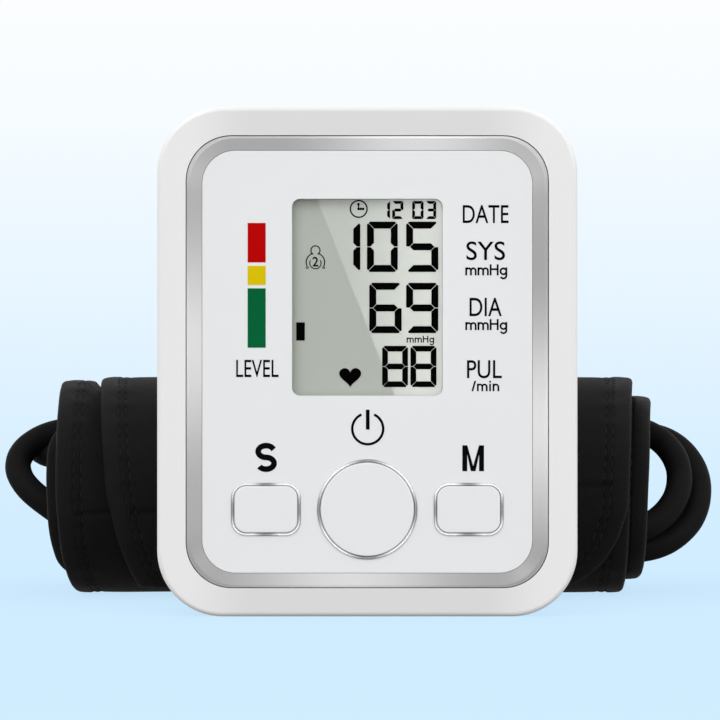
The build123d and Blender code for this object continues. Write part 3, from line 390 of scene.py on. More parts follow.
class Print:
    """Flat marks of one ink, gathered into one mesh that stands a little proud of a surface."""

    def __init__(self, surface_y):
        self.verts = []
        self.faces = []
        self.front = surface_y - INK_T

    def plate(self, outline):
        """Closed outline of (x, z) points in millimetres."""
        ring = zip(outline, outline[1:] + outline[:1])
        if sum(ax * bz - bx * az for (ax, az), (bx, bz) in ring) < 0:
            outline = outline[::-1]
        start = len(self.verts)
        count = len(outline)
        for y in (self.front, self.front + INK_T * 0.9):
            self.verts += [(x * MM, y, z * MM) for x, z in outline]
        self.faces.append(tuple(range(start, start + count)))
        self.faces.append(tuple(range(start + 2 * count - 1, start + count - 1, -1)))
        for k in range(count):
            n = (k + 1) % count
            self.faces.append((start + k, start + count + k, start + count + n, start + n))

    def rectangle(self, x0, z0, x1, z1):
        self.plate([(x0, z0), (x1, z0), (x1, z1), (x0, z1)])

    def arc(self, x, z, radius, stroke, start, sweep, steps=48):
        """Band along a circle; angles in degrees, anticlockwise from +X."""
        angles = [math.radians(start + sweep * k / steps) for k in range(steps + 1)]
        outer = [(x + radius * math.cos(a), z + radius * math.sin(a)) for a in angles]
        inside = radius - stroke
        inner = [(x + inside * math.cos(a), z + inside * math.sin(a)) for a in angles]
        for k in range(steps):
            self.plate([outer[k], outer[k + 1], inner[k + 1], inner[k]])

    def piece(self, name, material):
        mesh = new_mesh(name, self.verts, self.faces, material)
        return new_piece(name, mesh, "monitor")


FONT_CAP = 0.662  # height of a capital letter of the built-in font at size one
FONT_DEPTH = 0.02
LABEL_MID, LABEL_HALF = 0.55, 0.4  # middle and half depth of a label, as shares of the ink's


def label(name, text, x, base, width, cap, surface_y, material, weight):
    """Line of print: centre x, base line, width and capital height in millimetres."""
    curve = bpy.data.curves.new(name + "_curve", "FONT")
    curve.body = text
    curve.size = 1.0
    curve.offset = weight
    curve.extrude = FONT_DEPTH
    curve.resolution_u = 6
    source = place_object(name + "_source", curve)
    bpy.context.view_layer.update()
    mesh = bpy.data.meshes.new_from_object(source)
    bpy.data.objects.remove(source)
    xs = [v.co.x for v in mesh.vertices]
    low, high = min(xs), max(xs)
    across = width * MM / (high - low)
    up = cap * MM / FONT_CAP
    for v in mesh.vertices:
        fx, fy, fz = v.co
        v.co = (
            x * MM + (fx - (low + high) / 2) * across,
            surface_y - INK_T * (LABEL_MID + LABEL_HALF * (fz / FONT_DEPTH)),
            base * MM + fy * up,
        )
    mesh.materials.clear()
    mesh.materials.append(material)
    return new_piece(name, mesh, "monitor")


LABEL_X = 27.9
LABELS = (
    ("label_date", "DATE", LABEL_X, 92.7, 10.8, 4.05),
    ("label_sys", "SYS", LABEL_X, 84.0, 9.1, 4.15),
    ("label_dia", "DIA", LABEL_X, 70.75, 7.6, 4.15),
    ("label_pul", "PUL", LABEL_X - 0.3, 56.15, 8.2, 4.05),
    ("label_level", "LEVEL", -25.9, 56.4, 10.0, 3.9),
)
for name, text, x, base, width, cap in LABELS:
    label(name, text, x, base, width, cap, PANEL_Y, INK, weight=0.004)

# plain letters of the units: measures in ems, and the width that each letter takes up
STEM, CAP, LOW_CASE, BEARING = 0.12, 0.716, 0.52, 0.066
ADVANCE = {"m": 0.834, "n": 0.556, "H": 0.722, "g": 0.556, "i": 0.222, "/": 0.30}


def small_letter(ink, letter, x, base, em):
    """Draws one plain letter of a unit, its left side at x."""
    stem, cap, low_case = STEM * em, CAP * em, LOW_CASE * em
    left = x + BEARING * em
    if letter in "mn":
        arches, pitch = (2, 0.307 * em) if letter == "m" else (1, 0.336 * em)
        radius = (pitch + stem) / 2
        ink.rectangle(left, base, left + stem, base + low_case)
        for k in range(arches):
            foot = left + k * pitch
            ink.arc(foot + radius, base + low_case - radius, radius, stem, 0, 180, steps=16)
            ink.rectangle(foot + pitch, base, foot + pitch + stem, base + low_case - radius)
    elif letter == "H":
        right = left + 0.577 * em
        bar = base + 0.34 * em
        ink.rectangle(left, base, left + stem, base + cap)
        ink.rectangle(right - stem, base, right, base + cap)
        ink.rectangle(left, bar, right, bar + stem)
    elif letter == "g":
        radius, drop = 0.25 * em, 0.21 * em
        bowl = x + 0.275 * em
        hook = base - drop + radius * 0.8
        ink.arc(bowl, base + low_case / 2, radius, stem, 0, 360, steps=32)
        ink.rectangle(bowl + radius - stem, hook, bowl + radius, base + low_case)
        ink.arc(bowl, hook, radius, stem, 0, -155, steps=20)
    elif letter == "i":
        ink.rectangle(left, base, left + stem, base + low_case)
        ink.rectangle(left, base + cap - stem, left + stem, base + cap)
    else:
        slant = x + 0.2 * em
        ink.plate([(x, base), (x + stem, base), (slant + stem, base + cap), (slant, base + cap)])


def unit_line(name, text, x, base, width, cap, surface_y, material):
    """Small unit under a label: centre x, base line, width and capital height in millimetres."""
    em = cap / CAP
    spread = (width - sum(ADVANCE[letter] for letter in text) * em) / len(text)
    ink = Print(surface_y)
    place = x - width / 2
    for letter in text:
        small_letter(ink, letter, place, base, em)
        place += ADVANCE[letter] * em + spread
    ink.piece(name, material)


unit_line("label_sys_unit", "mmHg", LABEL_X, 80.35, 10.1, 2.6, PANEL_Y, INK)
unit_line("label_dia_unit", "mmHg", LABEL_X, 67.45, 10.1, 2.6, PANEL_Y, INK)
unit_line("label_pul_unit", "/min", LABEL_X, 53.05, 6.7, 2.45, PANEL_Y, INK)

# bold letters over the side keys
M_X, M_BASE, M_W, M_H, M_STEM = 24.95, 34.2, 5.1, 6.1, 1.15
M_TOP = M_BASE + M_H
M_HALF_FOOT = 0.55
M_NOTCH = 1.2
bold_m = Print(PANEL_Y)
for hand in (-1, 1):
    outer = M_X + hand * M_W / 2
    inner = outer - hand * M_STEM
    shoulder = outer - hand * M_STEM * 0.6
    bold_m.plate([(outer, M_BASE), (inner, M_BASE), (inner, M_TOP), (outer, M_TOP)])
    bold_m.plate([(inner, M_TOP), (shoulder, M_TOP), (M_X + hand * M_HALF_FOOT, M_BASE),
                  (M_X, M_BASE), (M_X, M_BASE + M_NOTCH)])
bold_m.piece("label_memory", INK)

S_X, S_BASE, S_H, S_W, S_STEM = -23.85, 34.0, 6.9, 5.1, 1.35
S_START, S_SWEEP = 20, 250
S_STEPS = 40


def s_curve(share):
    """Middle line of the letter S: two bowls joined by a slanted spine."""
    bowl = (S_H - S_STEM) / 4
    flat = (S_W - S_STEM) / 2 / bowl
    if share < 0.5:
        a = math.radians(S_START + S_SWEEP * share * 2)
        mid = S_BASE + S_H - S_STEM / 2 - bowl
    else:
        a = math.radians(90 - S_SWEEP * (share - 0.5) * 2)
        mid = S_BASE + S_STEM / 2 + bowl
    return (S_X + bowl * flat * math.cos(a), mid + bowl * math.sin(a))


bold_s = Print(PANEL_Y)
spine = [s_curve(k / S_STEPS) for k in range(S_STEPS + 1)]
sides = []
for k in range(S_STEPS):
    (ax, az), (bx, bz) = spine[max(k - 1, 0)], spine[min(k + 2, S_STEPS)]
    length = math.hypot(bx - ax, bz - az)
    nx, nz = -(bz - az) / length * S_STEM / 2, (bx - ax) / length * S_STEM / 2
    sides.append(((spine[k][0] + nx, spine[k][1] + nz), (spine[k][0] - nx, spine[k][1] - nz)))
for (left, right), (next_left, next_right) in zip(sides, sides[1:]):
    bold_s.plate([left, next_left, next_right, right])
bold_s.piece("label_set", INK)

# ring that is open at its top, and the bar in its gap
power = Print(PANEL_Y)
power.arc(0.1, 44.2, 3.95, 0.6, 114, 312)
power.rectangle(-0.33, 44.0, 0.54, 48.7)
power.piece("power_symbol", INK)

LEVEL_LEFT, LEVEL_RIGHT = -28.2, -23.95
for name, low_z, high_z, material in (
    ("level_red", 83.4, 92.7, RED),
    ("level_yellow", 78.1, 82.6, YELLOW),
    ("level_green", 63.3, 77.3, GREEN),
):
    bar = Print(PANEL_Y)
    bar.rectangle(LEVEL_LEFT, low_z, LEVEL_RIGHT, high_z)
    bar.piece(name, material)

# ---------------------------------------- liquid crystal segments

LIT = {
    "0": "abcdef", "1": "bc", "2": "abged", "3": "abgcd", "5": "afgcd",
    "6": "afgedc", "8": "abcdefg", "9": "abcdfg",
}
# rows of figures: stroke, foot, head, and each figure's value, left and right
FIGURES = (
    (1.65, 81.2, 93.1, (("1", -7.4, -1.65), ("0", -0.07, 7.2), ("5", 9.18, 16.78))),
    (1.65, 66.75, 78.65, (("6", 0.47, 8.12), ("9", 9.18, 16.78))),
    (1.35, 54.0, 63.75, (("8", 3.53, 9.62), ("8", 10.2, 16.35))),
    (0.7, 93.7, 97.98, (("1", 3.0, 5.39), ("2", 5.88, 8.52), ("0", 10.6, 13.3), ("3", 13.8, 16.28))),
)
CLOCK_X, CLOCK_Z = -2.07, 96.1
HEART_X, HEART_Z, HEART_W, HEART_H = -4.03, 56.6, 2.6, 2.3
USER_X = -12.25


def digit(ink, value, x0, z0, x1, z1, stroke):
    """Seven-segment digit between two corners, with mitred segment ends."""
    gap = stroke * 0.05
    cut = stroke * 0.4
    mid = (z0 + z1) / 2
    half = stroke / 2
    across = [(x0 + stroke + gap, stroke), (x1 - stroke - gap, stroke), (x1 - cut / 2 - gap, cut / 2),
              (x1 - cut, 0), (x0 + cut, 0), (x0 + cut / 2 + gap, cut / 2)]
    upright = [(0, mid + gap), (half, mid + gap), (stroke, mid + half + gap),
               (stroke, z1 - stroke - gap), (cut / 2, z1 - cut / 2 - gap), (0, z1 - cut)]
    flip = z0 + z1
    shapes = {
        "a": [(x, z1 - drop) for x, drop in across],
        "d": [(x, z0 + drop) for x, drop in across],
        "g": [(x0 + half + gap, mid), (x0 + stroke + gap, mid - half), (x1 - stroke - gap, mid - half),
              (x1 - half - gap, mid), (x1 - stroke - gap, mid + half), (x0 + stroke + gap, mid + half)],
        "f": [(x0 + inset, z) for inset, z in upright],
        "b": [(x1 - inset, z) for inset, z in upright],
        "e": [(x0 + inset, flip - z) for inset, z in upright],
        "c": [(x1 - inset, flip - z) for inset, z in upright],
    }
    for segment in LIT[value]:
        ink.plate(shapes[segment])


def heart_outline(steps=40):
    """Heart as a closed outline."""
    outline = []
    for k in range(steps):
        a = 2 * math.pi * k / steps
        across = math.sin(a) ** 3
        up = 13 * math.cos(a) - 5 * math.cos(2 * a) - 2 * math.cos(3 * a) - math.cos(4 * a)
        outline.append((HEART_X - across * HEART_W, HEART_Z + up / 14.5 * HEART_H))
    return outline


lcd = Print(LCD_PRINT_Y)
for stroke, foot, head, figures in FIGURES:
    for value, left, right in figures:
        digit(lcd, value, left, foot, right, head, stroke)
# mark beside the coloured bars, then the clock with its two hands and their round ends
lcd.rectangle(-16.78, 65.0, -14.75, 69.3)
lcd.arc(CLOCK_X + 0.05, CLOCK_Z, 2.14, 0.34, 0, 360)
lcd.rectangle(CLOCK_X - 0.15, CLOCK_Z, CLOCK_X + 0.15, CLOCK_Z + 1.2)
lcd.rectangle(CLOCK_X - 0.13, CLOCK_Z - 0.15, CLOCK_X + 1.17, CLOCK_Z + 0.15)
for right, up in ((0.0, 0.0), (0.0, 1.1), (1.07, 0.0), (0.52, 0.0)):
    lcd.arc(CLOCK_X + right, CLOCK_Z + up, 0.32, 0.31, 0, 360, steps=12)
lcd.plate(heart_outline())
lcd.piece("lcd_segments", SEGMENT)
unit_line("lcd_unit", "mmHg", 12.5, 64.5, 6.7, 1.65, LCD_PRINT_Y, SEGMENT)
label("lcd_user", "2", USER_X, 82.55, 1.4, 2.1, LCD_PRINT_Y, SEGMENT, weight=0.012)

# the user's head, shoulders, chest and the ends of the arms
user = Print(LCD_PRINT_Y)
user.arc(USER_X, 86.3, 1.2, 0.25, -60, 300, steps=30)
user.arc(USER_X, 83.5, 2.3, 0.25, 105, 105, steps=24)
user.arc(USER_X, 83.5, 2.3, 0.25, -30, 105, steps=24)
user.arc(USER_X, 83.3, 1.45, 0.22, 150, 240, steps=30)
for hand in (-1, 1):
    user.arc(USER_X + hand * 1.95, 82.35, 0.38, 0.22, 180, 180, steps=12)
user.piece("lcd_user_figure", SEGMENT)

# ---------------------------------------- housing seam

CASE_CORNER = 15.5 * MM
# section of the seam's line, in millimetres: behind the joint and out of the case
SEAM_SECTION = ((-0.16, -0.3), (-0.13, 0.03), (0.13, 0.03), (0.16, -0.3))
FLOOR_GAP = 0.02 * MM


def housing_seam():
    """Thin line where the front and rear housings meet, around the whole case: a painted shadow of the
    gap between them.
    """
    low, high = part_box("front_housing")
    right, left = high[0] - CASE_CORNER, low[0] + CASE_CORNER
    top, foot = high[2] - CASE_CORNER, low[2] + CASE_CORNER
    steps = 12
    verts = []
    for cx, cz, start in ((right, top, 0), (left, top, 90), (left, foot, 180), (right, foot, 270)):
        for k in range(steps + 1):
            a = math.radians(start + 90 * k / steps)
            for shift, push in SEAM_SECTION:
                reach = CASE_CORNER + push * MM
                z = max(cz + math.sin(a) * reach, FLOOR_GAP)
                verts.append((cx + math.cos(a) * reach, high[1] + shift * MM, z))
    sides = len(SEAM_SECTION)
    faces = []
    for a in range(0, len(verts), sides):
        b = (a + sides) % len(verts)
        for j in range(sides):
            m = (j + 1) % sides
            faces.append((a + j, b + j, b + m, a + m))
    mesh = new_mesh("housing_seam", verts, faces, SEAM)
    return new_piece("housing_seam", mesh, "monitor")


housing_seam()

# ---------------------------------------- cuff, in millimetres

OUTER_R = 28.2
LAYER_STEP = 1.7
FLAT_RUN = 18.0
CLOTH_T = 3.0
FRONT_AXIS = (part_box("cuff_shell")[0][1] / MM + OUTER_R + CLOTH_T / 2, 26.3)
BACK_AXIS = (FRONT_AXIS[0] + FLAT_RUN, 28.0)
FREE_END_ANGLE = 236.0
INNER_END_ANGLE = -50.0
HALF_TURNS = 6
FLAT_STEPS = 6
BODY_COLUMNS = 30
BOUND_COLUMNS = 7
LOWEST = 0.04
# where the sheet's left and right edges lie, by the number of half turns from the free end
LEFT_EDGE = [(0.0, -58.0), (0.08, -60.0), (0.2, -62.6), (0.4, -65.8), (0.7, -67.8), (1.0, -69.0),
             (1.9, -74.0), (2.1, -76.0), (2.3, -77.8), (2.5, -78.6), (2.8, -78.8), (3.0, -79.2),
             (3.3, -79.2), (3.6, -76.0), (4.0, -70.0), (4.08, -75.5), (4.18, -79.3), (4.35, -81.0),
             (4.6, -81.5), (4.72, -81.0), (4.78, -79.0), (4.84, -75.5), (5.4, -75.0), (6.0, -75.0)]
RIGHT_EDGE = [(0.0, 50.0), (0.06, 56.0), (0.13, 60.0), (0.22, 63.4), (0.34, 65.9), (0.5, 66.5),
              (0.75, 67.6), (1.0, 69.2), (1.3, 69.4), (2.0, 66.4), (3.0, 66.6), (3.8, 69.0),
              (4.1, 71.2), (4.5, 71.4), (4.8, 72.6), (5.0, 74.0), (5.4, 73.5), (6.0, 70.0)]
# where a layer sticks out past the one outside it, it is looser: added radius by half turns
SWELL = [(2.3, 0.0), (2.75, 2.6), (3.5, 2.6), (3.9, 0.0), (4.45, 0.0), (4.85, 1.7), (5.4, 1.7),
         (5.8, 0.0)]
# distance from the sheet's edge of its two sewn lines
SEWN_LINES = (4.65, 6.45)
# half thickness of the cloth by the distance from its edge: bound edge, two sewn lines, body
RISE = [(0.0, 0.05), (0.2, 0.72), (0.5, 1.05), (1.0, 1.28), (2.2, 1.38), (3.8, 1.34), (4.4, 1.18),
        (4.65, 0.86), (4.9, 1.1), (5.2, 1.2), (5.9, 1.2), (6.2, 1.1), (6.45, 0.84), (6.75, 1.08),
        (7.3, 1.2), (9.0, 1.3), (13.0, 1.36)]
EDGE_STOPS = [stop for stop, rise in RISE]
# half turns whose front shows a seam across the cloth, and where the two seams are: a length from
# the free end and a number of half turns
SEAM_TURNS = (0, 2)
SEAM_RUN = 26.5
SECOND_SEAM = 2.49
SEAM_SLOPE, SEAM_DEPTH, SEAM_WIDTH = 0.058, 0.6, 0.75
# faces of the sheet, by its material slots
OUTSIDE, INSIDE, BINDING = 0, 1, 2


def between(table, value):
    """Value of a table of (place, value) pairs, in straight lines from one pair to the next."""
    if value <= table[0][0]:
        return table[0][1]
    for (a, fa), (b, fb) in zip(table, table[1:]):
        if value <= b:
            return fa + (fb - fa) * (value - a) / (b - a)
    return table[-1][1]


# one place on the middle line: its y and z, the direction out, half turns and length from the end
Station = namedtuple("Station", "y z out_y out_z turns run")


def stations():
    """Middle line of the roll from the free end inwards."""
    points = []
    for turn in range(HALF_TURNS):
        front = turn % 2 == 0
        axis = FRONT_AXIS if front else BACK_AXIS
        radius = OUTER_R - turn * LAYER_STEP
        first = 270.0 if front else 90.0
        last = 90.0 if front else -90.0
        start = FREE_END_ANGLE if turn == 0 else first
        end = INNER_END_ANGLE if turn == HALF_TURNS - 1 else last
        step = 1.2 if turn in SEAM_TURNS else 4.5
        count = round(abs(start - end) / step)
        for k in range(count + 1):
            angle = start + (end - start) * k / count
            a = math.radians(angle)
            place = turn + abs(angle - first) / 180.0 if turn else (start - angle) / (start - 90.0)
            points.append((axis[0] + radius * math.cos(a), axis[1] + radius * math.sin(a),
                           math.cos(a), math.sin(a), place))
        if turn < HALF_TURNS - 1:
            y, z, out_y, out_z, place = points[-1]
            away = 1.0 if front else -1.0
            for k in range(1, FLAT_STEPS):
                points.append((y + away * FLAT_RUN * k / FLAT_STEPS, z, out_y, out_z, place))
    run = 0.0
    result = []
    for k, point in enumerate(points):
        if k:
            run += math.dist(point[:2], points[k - 1][:2])
        result.append(Station(*point, run))
    return result


ROLL = stations()
SEAM_RUNS = (SEAM_RUN, next(station.run for station in ROLL if station.turns > SECOND_SEAM))


def columns(left, right):
    """(x, distance to the nearer edge) of every column across the sheet."""
    inner = EDGE_STOPS[-1]
    result = [(left + d, d) for d in EDGE_STOPS]
    span = right - left - 2 * inner
    for k in range(1, BODY_COLUMNS):
        share = k / BODY_COLUMNS
        result.append((left + inner + span * share, inner + span * min(share, 1 - share)))
    result += [(right - d, d) for d in reversed(EDGE_STOPS)]
    return result


def smooth_edges(table):
    """Edge place at every station, averaged over its neighbours so that it has no kinks."""
    raw = [between(table, station.turns) for station in ROLL]
    windows = [raw[max(0, k - 2):k + 3] for k in range(len(raw))]
    return [sum(window) / len(window) for window in windows]


LEFTS = smooth_edges(LEFT_EDGE)
RIGHTS = smooth_edges(RIGHT_EDGE)


def seam_run(x, start=SEAM_RUN):
    """Length from the free end at which a slightly slanted seam crosses the sheet."""
    return start + SEAM_SLOPE * x


def half_thickness(edge, run, x):
    """Half the cloth's thickness at a place on the sheet."""
    rise = between(RISE, min(edge, run + 0.02))
    if edge > SEWN_LINES[0]:
        for start in SEAM_RUNS:
            rise -= SEAM_DEPTH * math.exp(-((run - seam_run(x, start)) / SEAM_WIDTH) ** 2)
    return rise


def ripple(run, x):
    """Slow waves of the cloth out of its middle line."""
    return 0.24 * noise.noise(Vector((run * 0.045, x * 0.03, 1.7)))


def pucker(run, edge):
    """Small gathers where the sewn lines draw the cloth in."""
    wander = 2.5 * noise.noise(Vector((run * 0.08, edge * 0.02, 4.3)))
    return 0.15 * math.sin(run * 0.85 + wander) * math.exp(-((edge - 5.5) / 2.8) ** 2)


def swell(turns, x):
    """Added radius of a layer beyond the edges of the layer outside it."""
    over = max(between(LEFT_EDGE, turns - 2) - x, x - between(RIGHT_EDGE, turns - 2))
    share = min(max((over - 0.4) / 3.0, 0.0), 1.0)
    return between(SWELL, turns) * share * share * (3 - 2 * share)


def lay_cloth(piece, lay):
    """Stores each point's place on the flat cloth, which the weave follows."""
    attribute = piece.data.attributes.new("cloth", "FLOAT_VECTOR", "POINT")
    attribute.data.foreach_set("vector", [value for point in lay for value in point])


def cuff_sheet():
    """The whole cuff as one rolled sheet with bound edges."""
    verts, lay = [], []
    for side in (1.0, -1.0):
        for station, left, right in zip(ROLL, LEFTS, RIGHTS):
            for x, edge in columns(left, right):
                out = ripple(station.run, x) + pucker(station.run, edge) + swell(station.turns, x)
                out += side * half_thickness(edge, station.run, x)
                height = max(station.z + station.out_z * out, LOWEST)
                verts.append((x * MM, (station.y + station.out_y * out) * MM, height * MM))
                lay.append((station.run * MM, x * MM, side))
    rows = len(ROLL)
    layer = len(verts) // 2
    count = layer // rows
    faces, kinds = [], []
    for r in range(rows - 1):
        for c in range(count - 1):
            a = r * count + c
            faces.append((a, a + 1, a + count + 1, a + count))
            bound = c < BOUND_COLUMNS or c >= count - 1 - BOUND_COLUMNS
            kinds.append(BINDING if bound else OUTSIDE)
    faces += [tuple(layer + corner for corner in reversed(quad)) for quad in faces]
    kinds += [INSIDE] * (len(faces) - len(kinds))
    for r in range(rows - 1):
        for c in (0, count - 1):
            a = r * count + c
            quad = (a, a + count, a + layer + count, a + layer)
            faces.append(quad if c == 0 else quad[::-1])
    for c in range(count - 1):
        for r in (0, rows - 1):
            a = r * count + c
            quad = (a, a + layer, a + layer + 1, a + 1)
            faces.append(quad if r == 0 else quad[::-1])
    kinds += [BINDING] * (len(faces) - len(kinds))
    mesh = new_mesh("cuff_sheet", verts, faces, NYLON, smooth=True)
    piece = new_piece("cuff_sheet", mesh, "cuff")
    mesh.materials.append(LINING)
    mesh.materials.append(TAPE)
    lay_cloth(piece, lay)
    mesh.polygons.foreach_set("material_index", kinds)
    skin = bmesh.new()
    skin.from_mesh(mesh)
    bmesh.ops.recalc_face_normals(skin, faces=skin.faces)
    skin.to_mesh(mesh)
    skin.free()
    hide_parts("cuff_shell", "cuff_lining")
    return piece


def locate(run):
    """Station before a length from the free end, and the share of the way to the next one."""
    k = 0
    while k < len(ROLL) - 2 and ROLL[k + 1].run < run:
        k += 1
    return k, (run - ROLL[k].run) / (ROLL[k + 1].run - ROLL[k].run)


def roll_point(run, x, lift, edge):
    """Place on the outside of the roll at a length from the free end and from the nearer edge."""
    k, share = locate(run)
    y, z, out_y, out_z, turns, _ = (a + (b - a) * share for a, b in zip(ROLL[k], ROLL[k + 1]))
    out = ripple(run, x) + pucker(run, edge) + swell(turns, x) + lift
    return Vector((x, y + out_y * out, z + out_z * out)) * MM


def edge_at(table, run):
    """Edge place at a length from the free end."""
    k, share = locate(run)
    return table[k] + (table[k + 1] - table[k]) * share


STITCH, STITCH_STEP, THREAD_R = 2.1, 3.0, 0.17 * MM
THREAD_SIDES = 6
# rings of one stitch: share of its length, share of the thread's radius
STITCH_RINGS = ((0.0, 0.35), (0.25, 1.0), (0.75, 1.0), (1.0, 0.35))
SEWN_LIFT, SEAM_LIFT = 1.02, 1.28
SEWN_FIRST, SEWN_LAST = 7.0, 6.0  # from the free end and from the inner end
SEAM_MARGIN, BESIDE_SEAM, MID_CLOTH = 8.0, 1.9, 20.0


def add_stitch(verts, faces, start, end):
    """One stitch: a short thread whose ends dip into the cloth."""
    along = end - start
    side = along.cross(Vector((0.3, 0.5, 0.81))).normalized()
    top = along.cross(side).normalized()
    base = len(verts)
    for share, fat in STITCH_RINGS:
        centre = start + along * share
        for k in range(THREAD_SIDES):
            a = 2 * math.pi * k / THREAD_SIDES
            verts.append(centre + (side * math.cos(a) + top * math.sin(a)) * THREAD_R * fat)
    last = len(verts) - THREAD_SIDES
    for a in range(base, last, THREAD_SIDES):
        for k in range(THREAD_SIDES):
            n = (k + 1) % THREAD_SIDES
            faces.append((a + k, a + n, a + THREAD_SIDES + n, a + THREAD_SIDES + k))
    faces.append(tuple(range(base + THREAD_SIDES - 1, base - 1, -1)))
    faces.append(tuple(range(last, last + THREAD_SIDES)))


def cuff_stitches():
    """Two rows of thread along each bound edge, and one across the free end's seam."""
    verts, faces = [], []
    for table, inward in ((LEFTS, 1.0), (RIGHTS, -1.0)):
        for line in SEWN_LINES:
            run = SEWN_FIRST
            while run + STITCH < ROLL[-1].run - SEWN_LAST:
                ends = [roll_point(place, edge_at(table, place) + inward * line, SEWN_LIFT, line)
                        for place in (run, run + STITCH)]
                add_stitch(verts, faces, *ends)
                run += STITCH_STEP
    near_seam = 10
    x = LEFTS[near_seam] + SEAM_MARGIN
    while x + STITCH < RIGHTS[near_seam] - SEAM_MARGIN:
        ends = [roll_point(seam_run(place) + BESIDE_SEAM, place, SEAM_LIFT, MID_CLOTH)
                for place in (x, x + STITCH)]
        add_stitch(verts, faces, *ends)
        x += STITCH_STEP
    mesh = new_mesh("cuff_stitches", verts, faces, THREAD, smooth=True)
    return new_piece("cuff_stitches", mesh, "cuff")


def hem_tube():
    """Cloth hem that holds the ring's bar, wrapped round it and sewn flat."""
    low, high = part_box("ring_hem")
    _, mid_y, mid_z = middle("ring_hem")
    outer = (high[2] - low[2]) / 2
    inner = 1.6 * MM
    gather = 0.25 * MM
    steps, lengths = 32, 48
    verts, faces, lay = [], [], []
    for radius in (outer, inner):
        for k in range(lengths + 1):
            x = low[0] + (high[0] - low[0]) * k / lengths
            pull = gather * (0.5 + 0.5 * math.sin(k * 0.9)) if radius == outer else 0.0
            for j in range(steps):
                a = 2 * math.pi * j / steps
                reach = radius - pull * abs(math.sin(a * 1.5))
                verts.append((x, mid_y + reach * math.cos(a), mid_z + reach * math.sin(a)))
                lay.append((a * outer, x, 1.0))
    layer = len(verts) // 2
    for a in range(0, lengths * steps, steps):
        for j in range(steps):
            n = (j + 1) % steps
            faces.append((a + j, a + n, a + steps + n, a + steps + j))
    faces += [tuple(layer + corner for corner in reversed(quad)) for quad in faces]
    for a in (0, lengths * steps):
        for j in range(steps):
            n = (j + 1) % steps
            quad = (a + j, a + layer + j, a + layer + n, a + n)
            faces.append(quad if a == 0 else quad[::-1])
    mesh = new_mesh("ring_hem_cloth", verts, faces, TAPE, smooth=True)
    piece = new_piece("ring_hem_cloth", mesh, "cuff")
    lay_cloth(piece, lay)
    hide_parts("ring_hem")
    return piece


cuff = cuff_sheet()
stitches = cuff_stitches()
hem = hem_tube()

# ---------------------------------------- hose

HOSE_D = 6.8 * MM
COIL_MID = (middle("hose_coil")[1], 26.3 * MM)
COIL_TILT = math.radians(48.4)
IN_PLANE = (math.cos(COIL_TILT), math.sin(COIL_TILT))
ACROSS = (-math.sin(COIL_TILT), math.cos(COIL_TILT))
LEAD = middle("hose_lead")[1:]
TAIL = middle("hose_tail")[1:]
EXIT = (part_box("hose_lead")[0][0], *LEAD)
TAIL_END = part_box("hose_tail")[1][0]
# (up, over) places of the straight strands in the roll's core
LOW_A, LOW_B, HIGH = (-17.5, -3.6), (-17.5, 3.6), (17.5, 3.7)
LOOP_TOP = (0.0828, 0.0426)  # y and z at the upper end of the first loop
# the loops outside the core, as x, y, z in millimetres
LEFT_LOOP = (
    (-76.0, 82.5, 42.1), (-84.0, 81.2, 41.0), (-90.0, 78.2, 37.6), (-92.3, 74.6, 32.8),
    (-89.8, 71.0, 27.6), (-83.4, 68.2, 22.6), (-75.0, 66.4, 17.4), (-66.0, 65.3, 13.2),
)
RIGHT_LOOP = (
    (66.0, 65.2, 10.6), (76.4, 66.8, 11.6), (83.8, 70.2, 16.3), (87.4, 74.8, 22.6),
    (87.9, 79.8, 29.0), (85.6, 84.4, 34.8), (80.4, 87.8, 39.2), (73.2, 89.3, 40.8),
    (64.0, 89.6, 40.4), (52.0, 89.4, 38.4), (24.0, 90.5, 35.8), (-10.0, 93.5, 33.8),
    (-40.0, 96.0, 33.0),
)
SECOND_LEFT_LOOP = (
    (-64.0, 96.5, 34.0), (-76.0, 95.2, 35.6), (-84.0, 91.4, 36.6), (-87.2, 85.8, 36.4),
    (-84.2, 80.0, 35.3), (-76.0, 76.4, 34.4), (-66.0, 75.6, 33.9),
)


def core(x, up, over):
    """Place in the roll's core in millimetres: along X, up the coil's plane and across it."""
    y = COIL_MID[0] + (up * IN_PLANE[0] + over * ACROSS[0]) * MM
    z = COIL_MID[1] + (up * IN_PLANE[1] + over * ACROSS[1]) * MM
    return (x * MM, y, z)


def in_core(y, z):
    """(up, over) of a place in the roll's core, in millimetres."""
    dy, dz = (y - COIL_MID[0]) / MM, (z - COIL_MID[1]) / MM
    return (dy * IN_PLANE[0] + dz * IN_PLANE[1], dy * ACROSS[0] + dz * ACROSS[1])


def loop(x, reach, start, end, lean, count=8):
    """Half turn between two strands: a bulge along X from one (up, over) place to another."""
    points = []
    for k in range(count + 1):
        a = math.pi * k / count
        share = (1 - math.cos(a)) / 2
        up = start[0] + (end[0] - start[0]) * share + lean * math.sin(a)
        over = start[1] + (end[1] - start[1]) * share
        points.append(core(x + reach * math.sin(a), up, over))
    return points


def strand(places, up_over):
    """Points along a straight strand in the core."""
    return [core(x, *up_over) for x in places]


def metres(points):
    """Points in millimetres as points in metres."""
    return [(x * MM, y * MM, z * MM) for x, y, z in points]


hose_points = [
    EXIT, (EXIT[0] + 0.010, *LEAD),
    core(38, -8.0, -4.0), core(50, -12.0, 1.0), core(60, -16.3, 3.4),
    *loop(66.5, 15.9, LOW_B, in_core(*LOOP_TOP), 1.6),
    *strand((48, 20, -10, -40, -62), HIGH),
    *metres(LEFT_LOOP),
    *strand((-50, -22, 8, 38, 54), LOW_A),
    *metres(RIGHT_LOOP + SECOND_LEFT_LOOP),
    (-0.056, *TAIL), (-0.044, *TAIL), (TAIL_END, *TAIL),
]


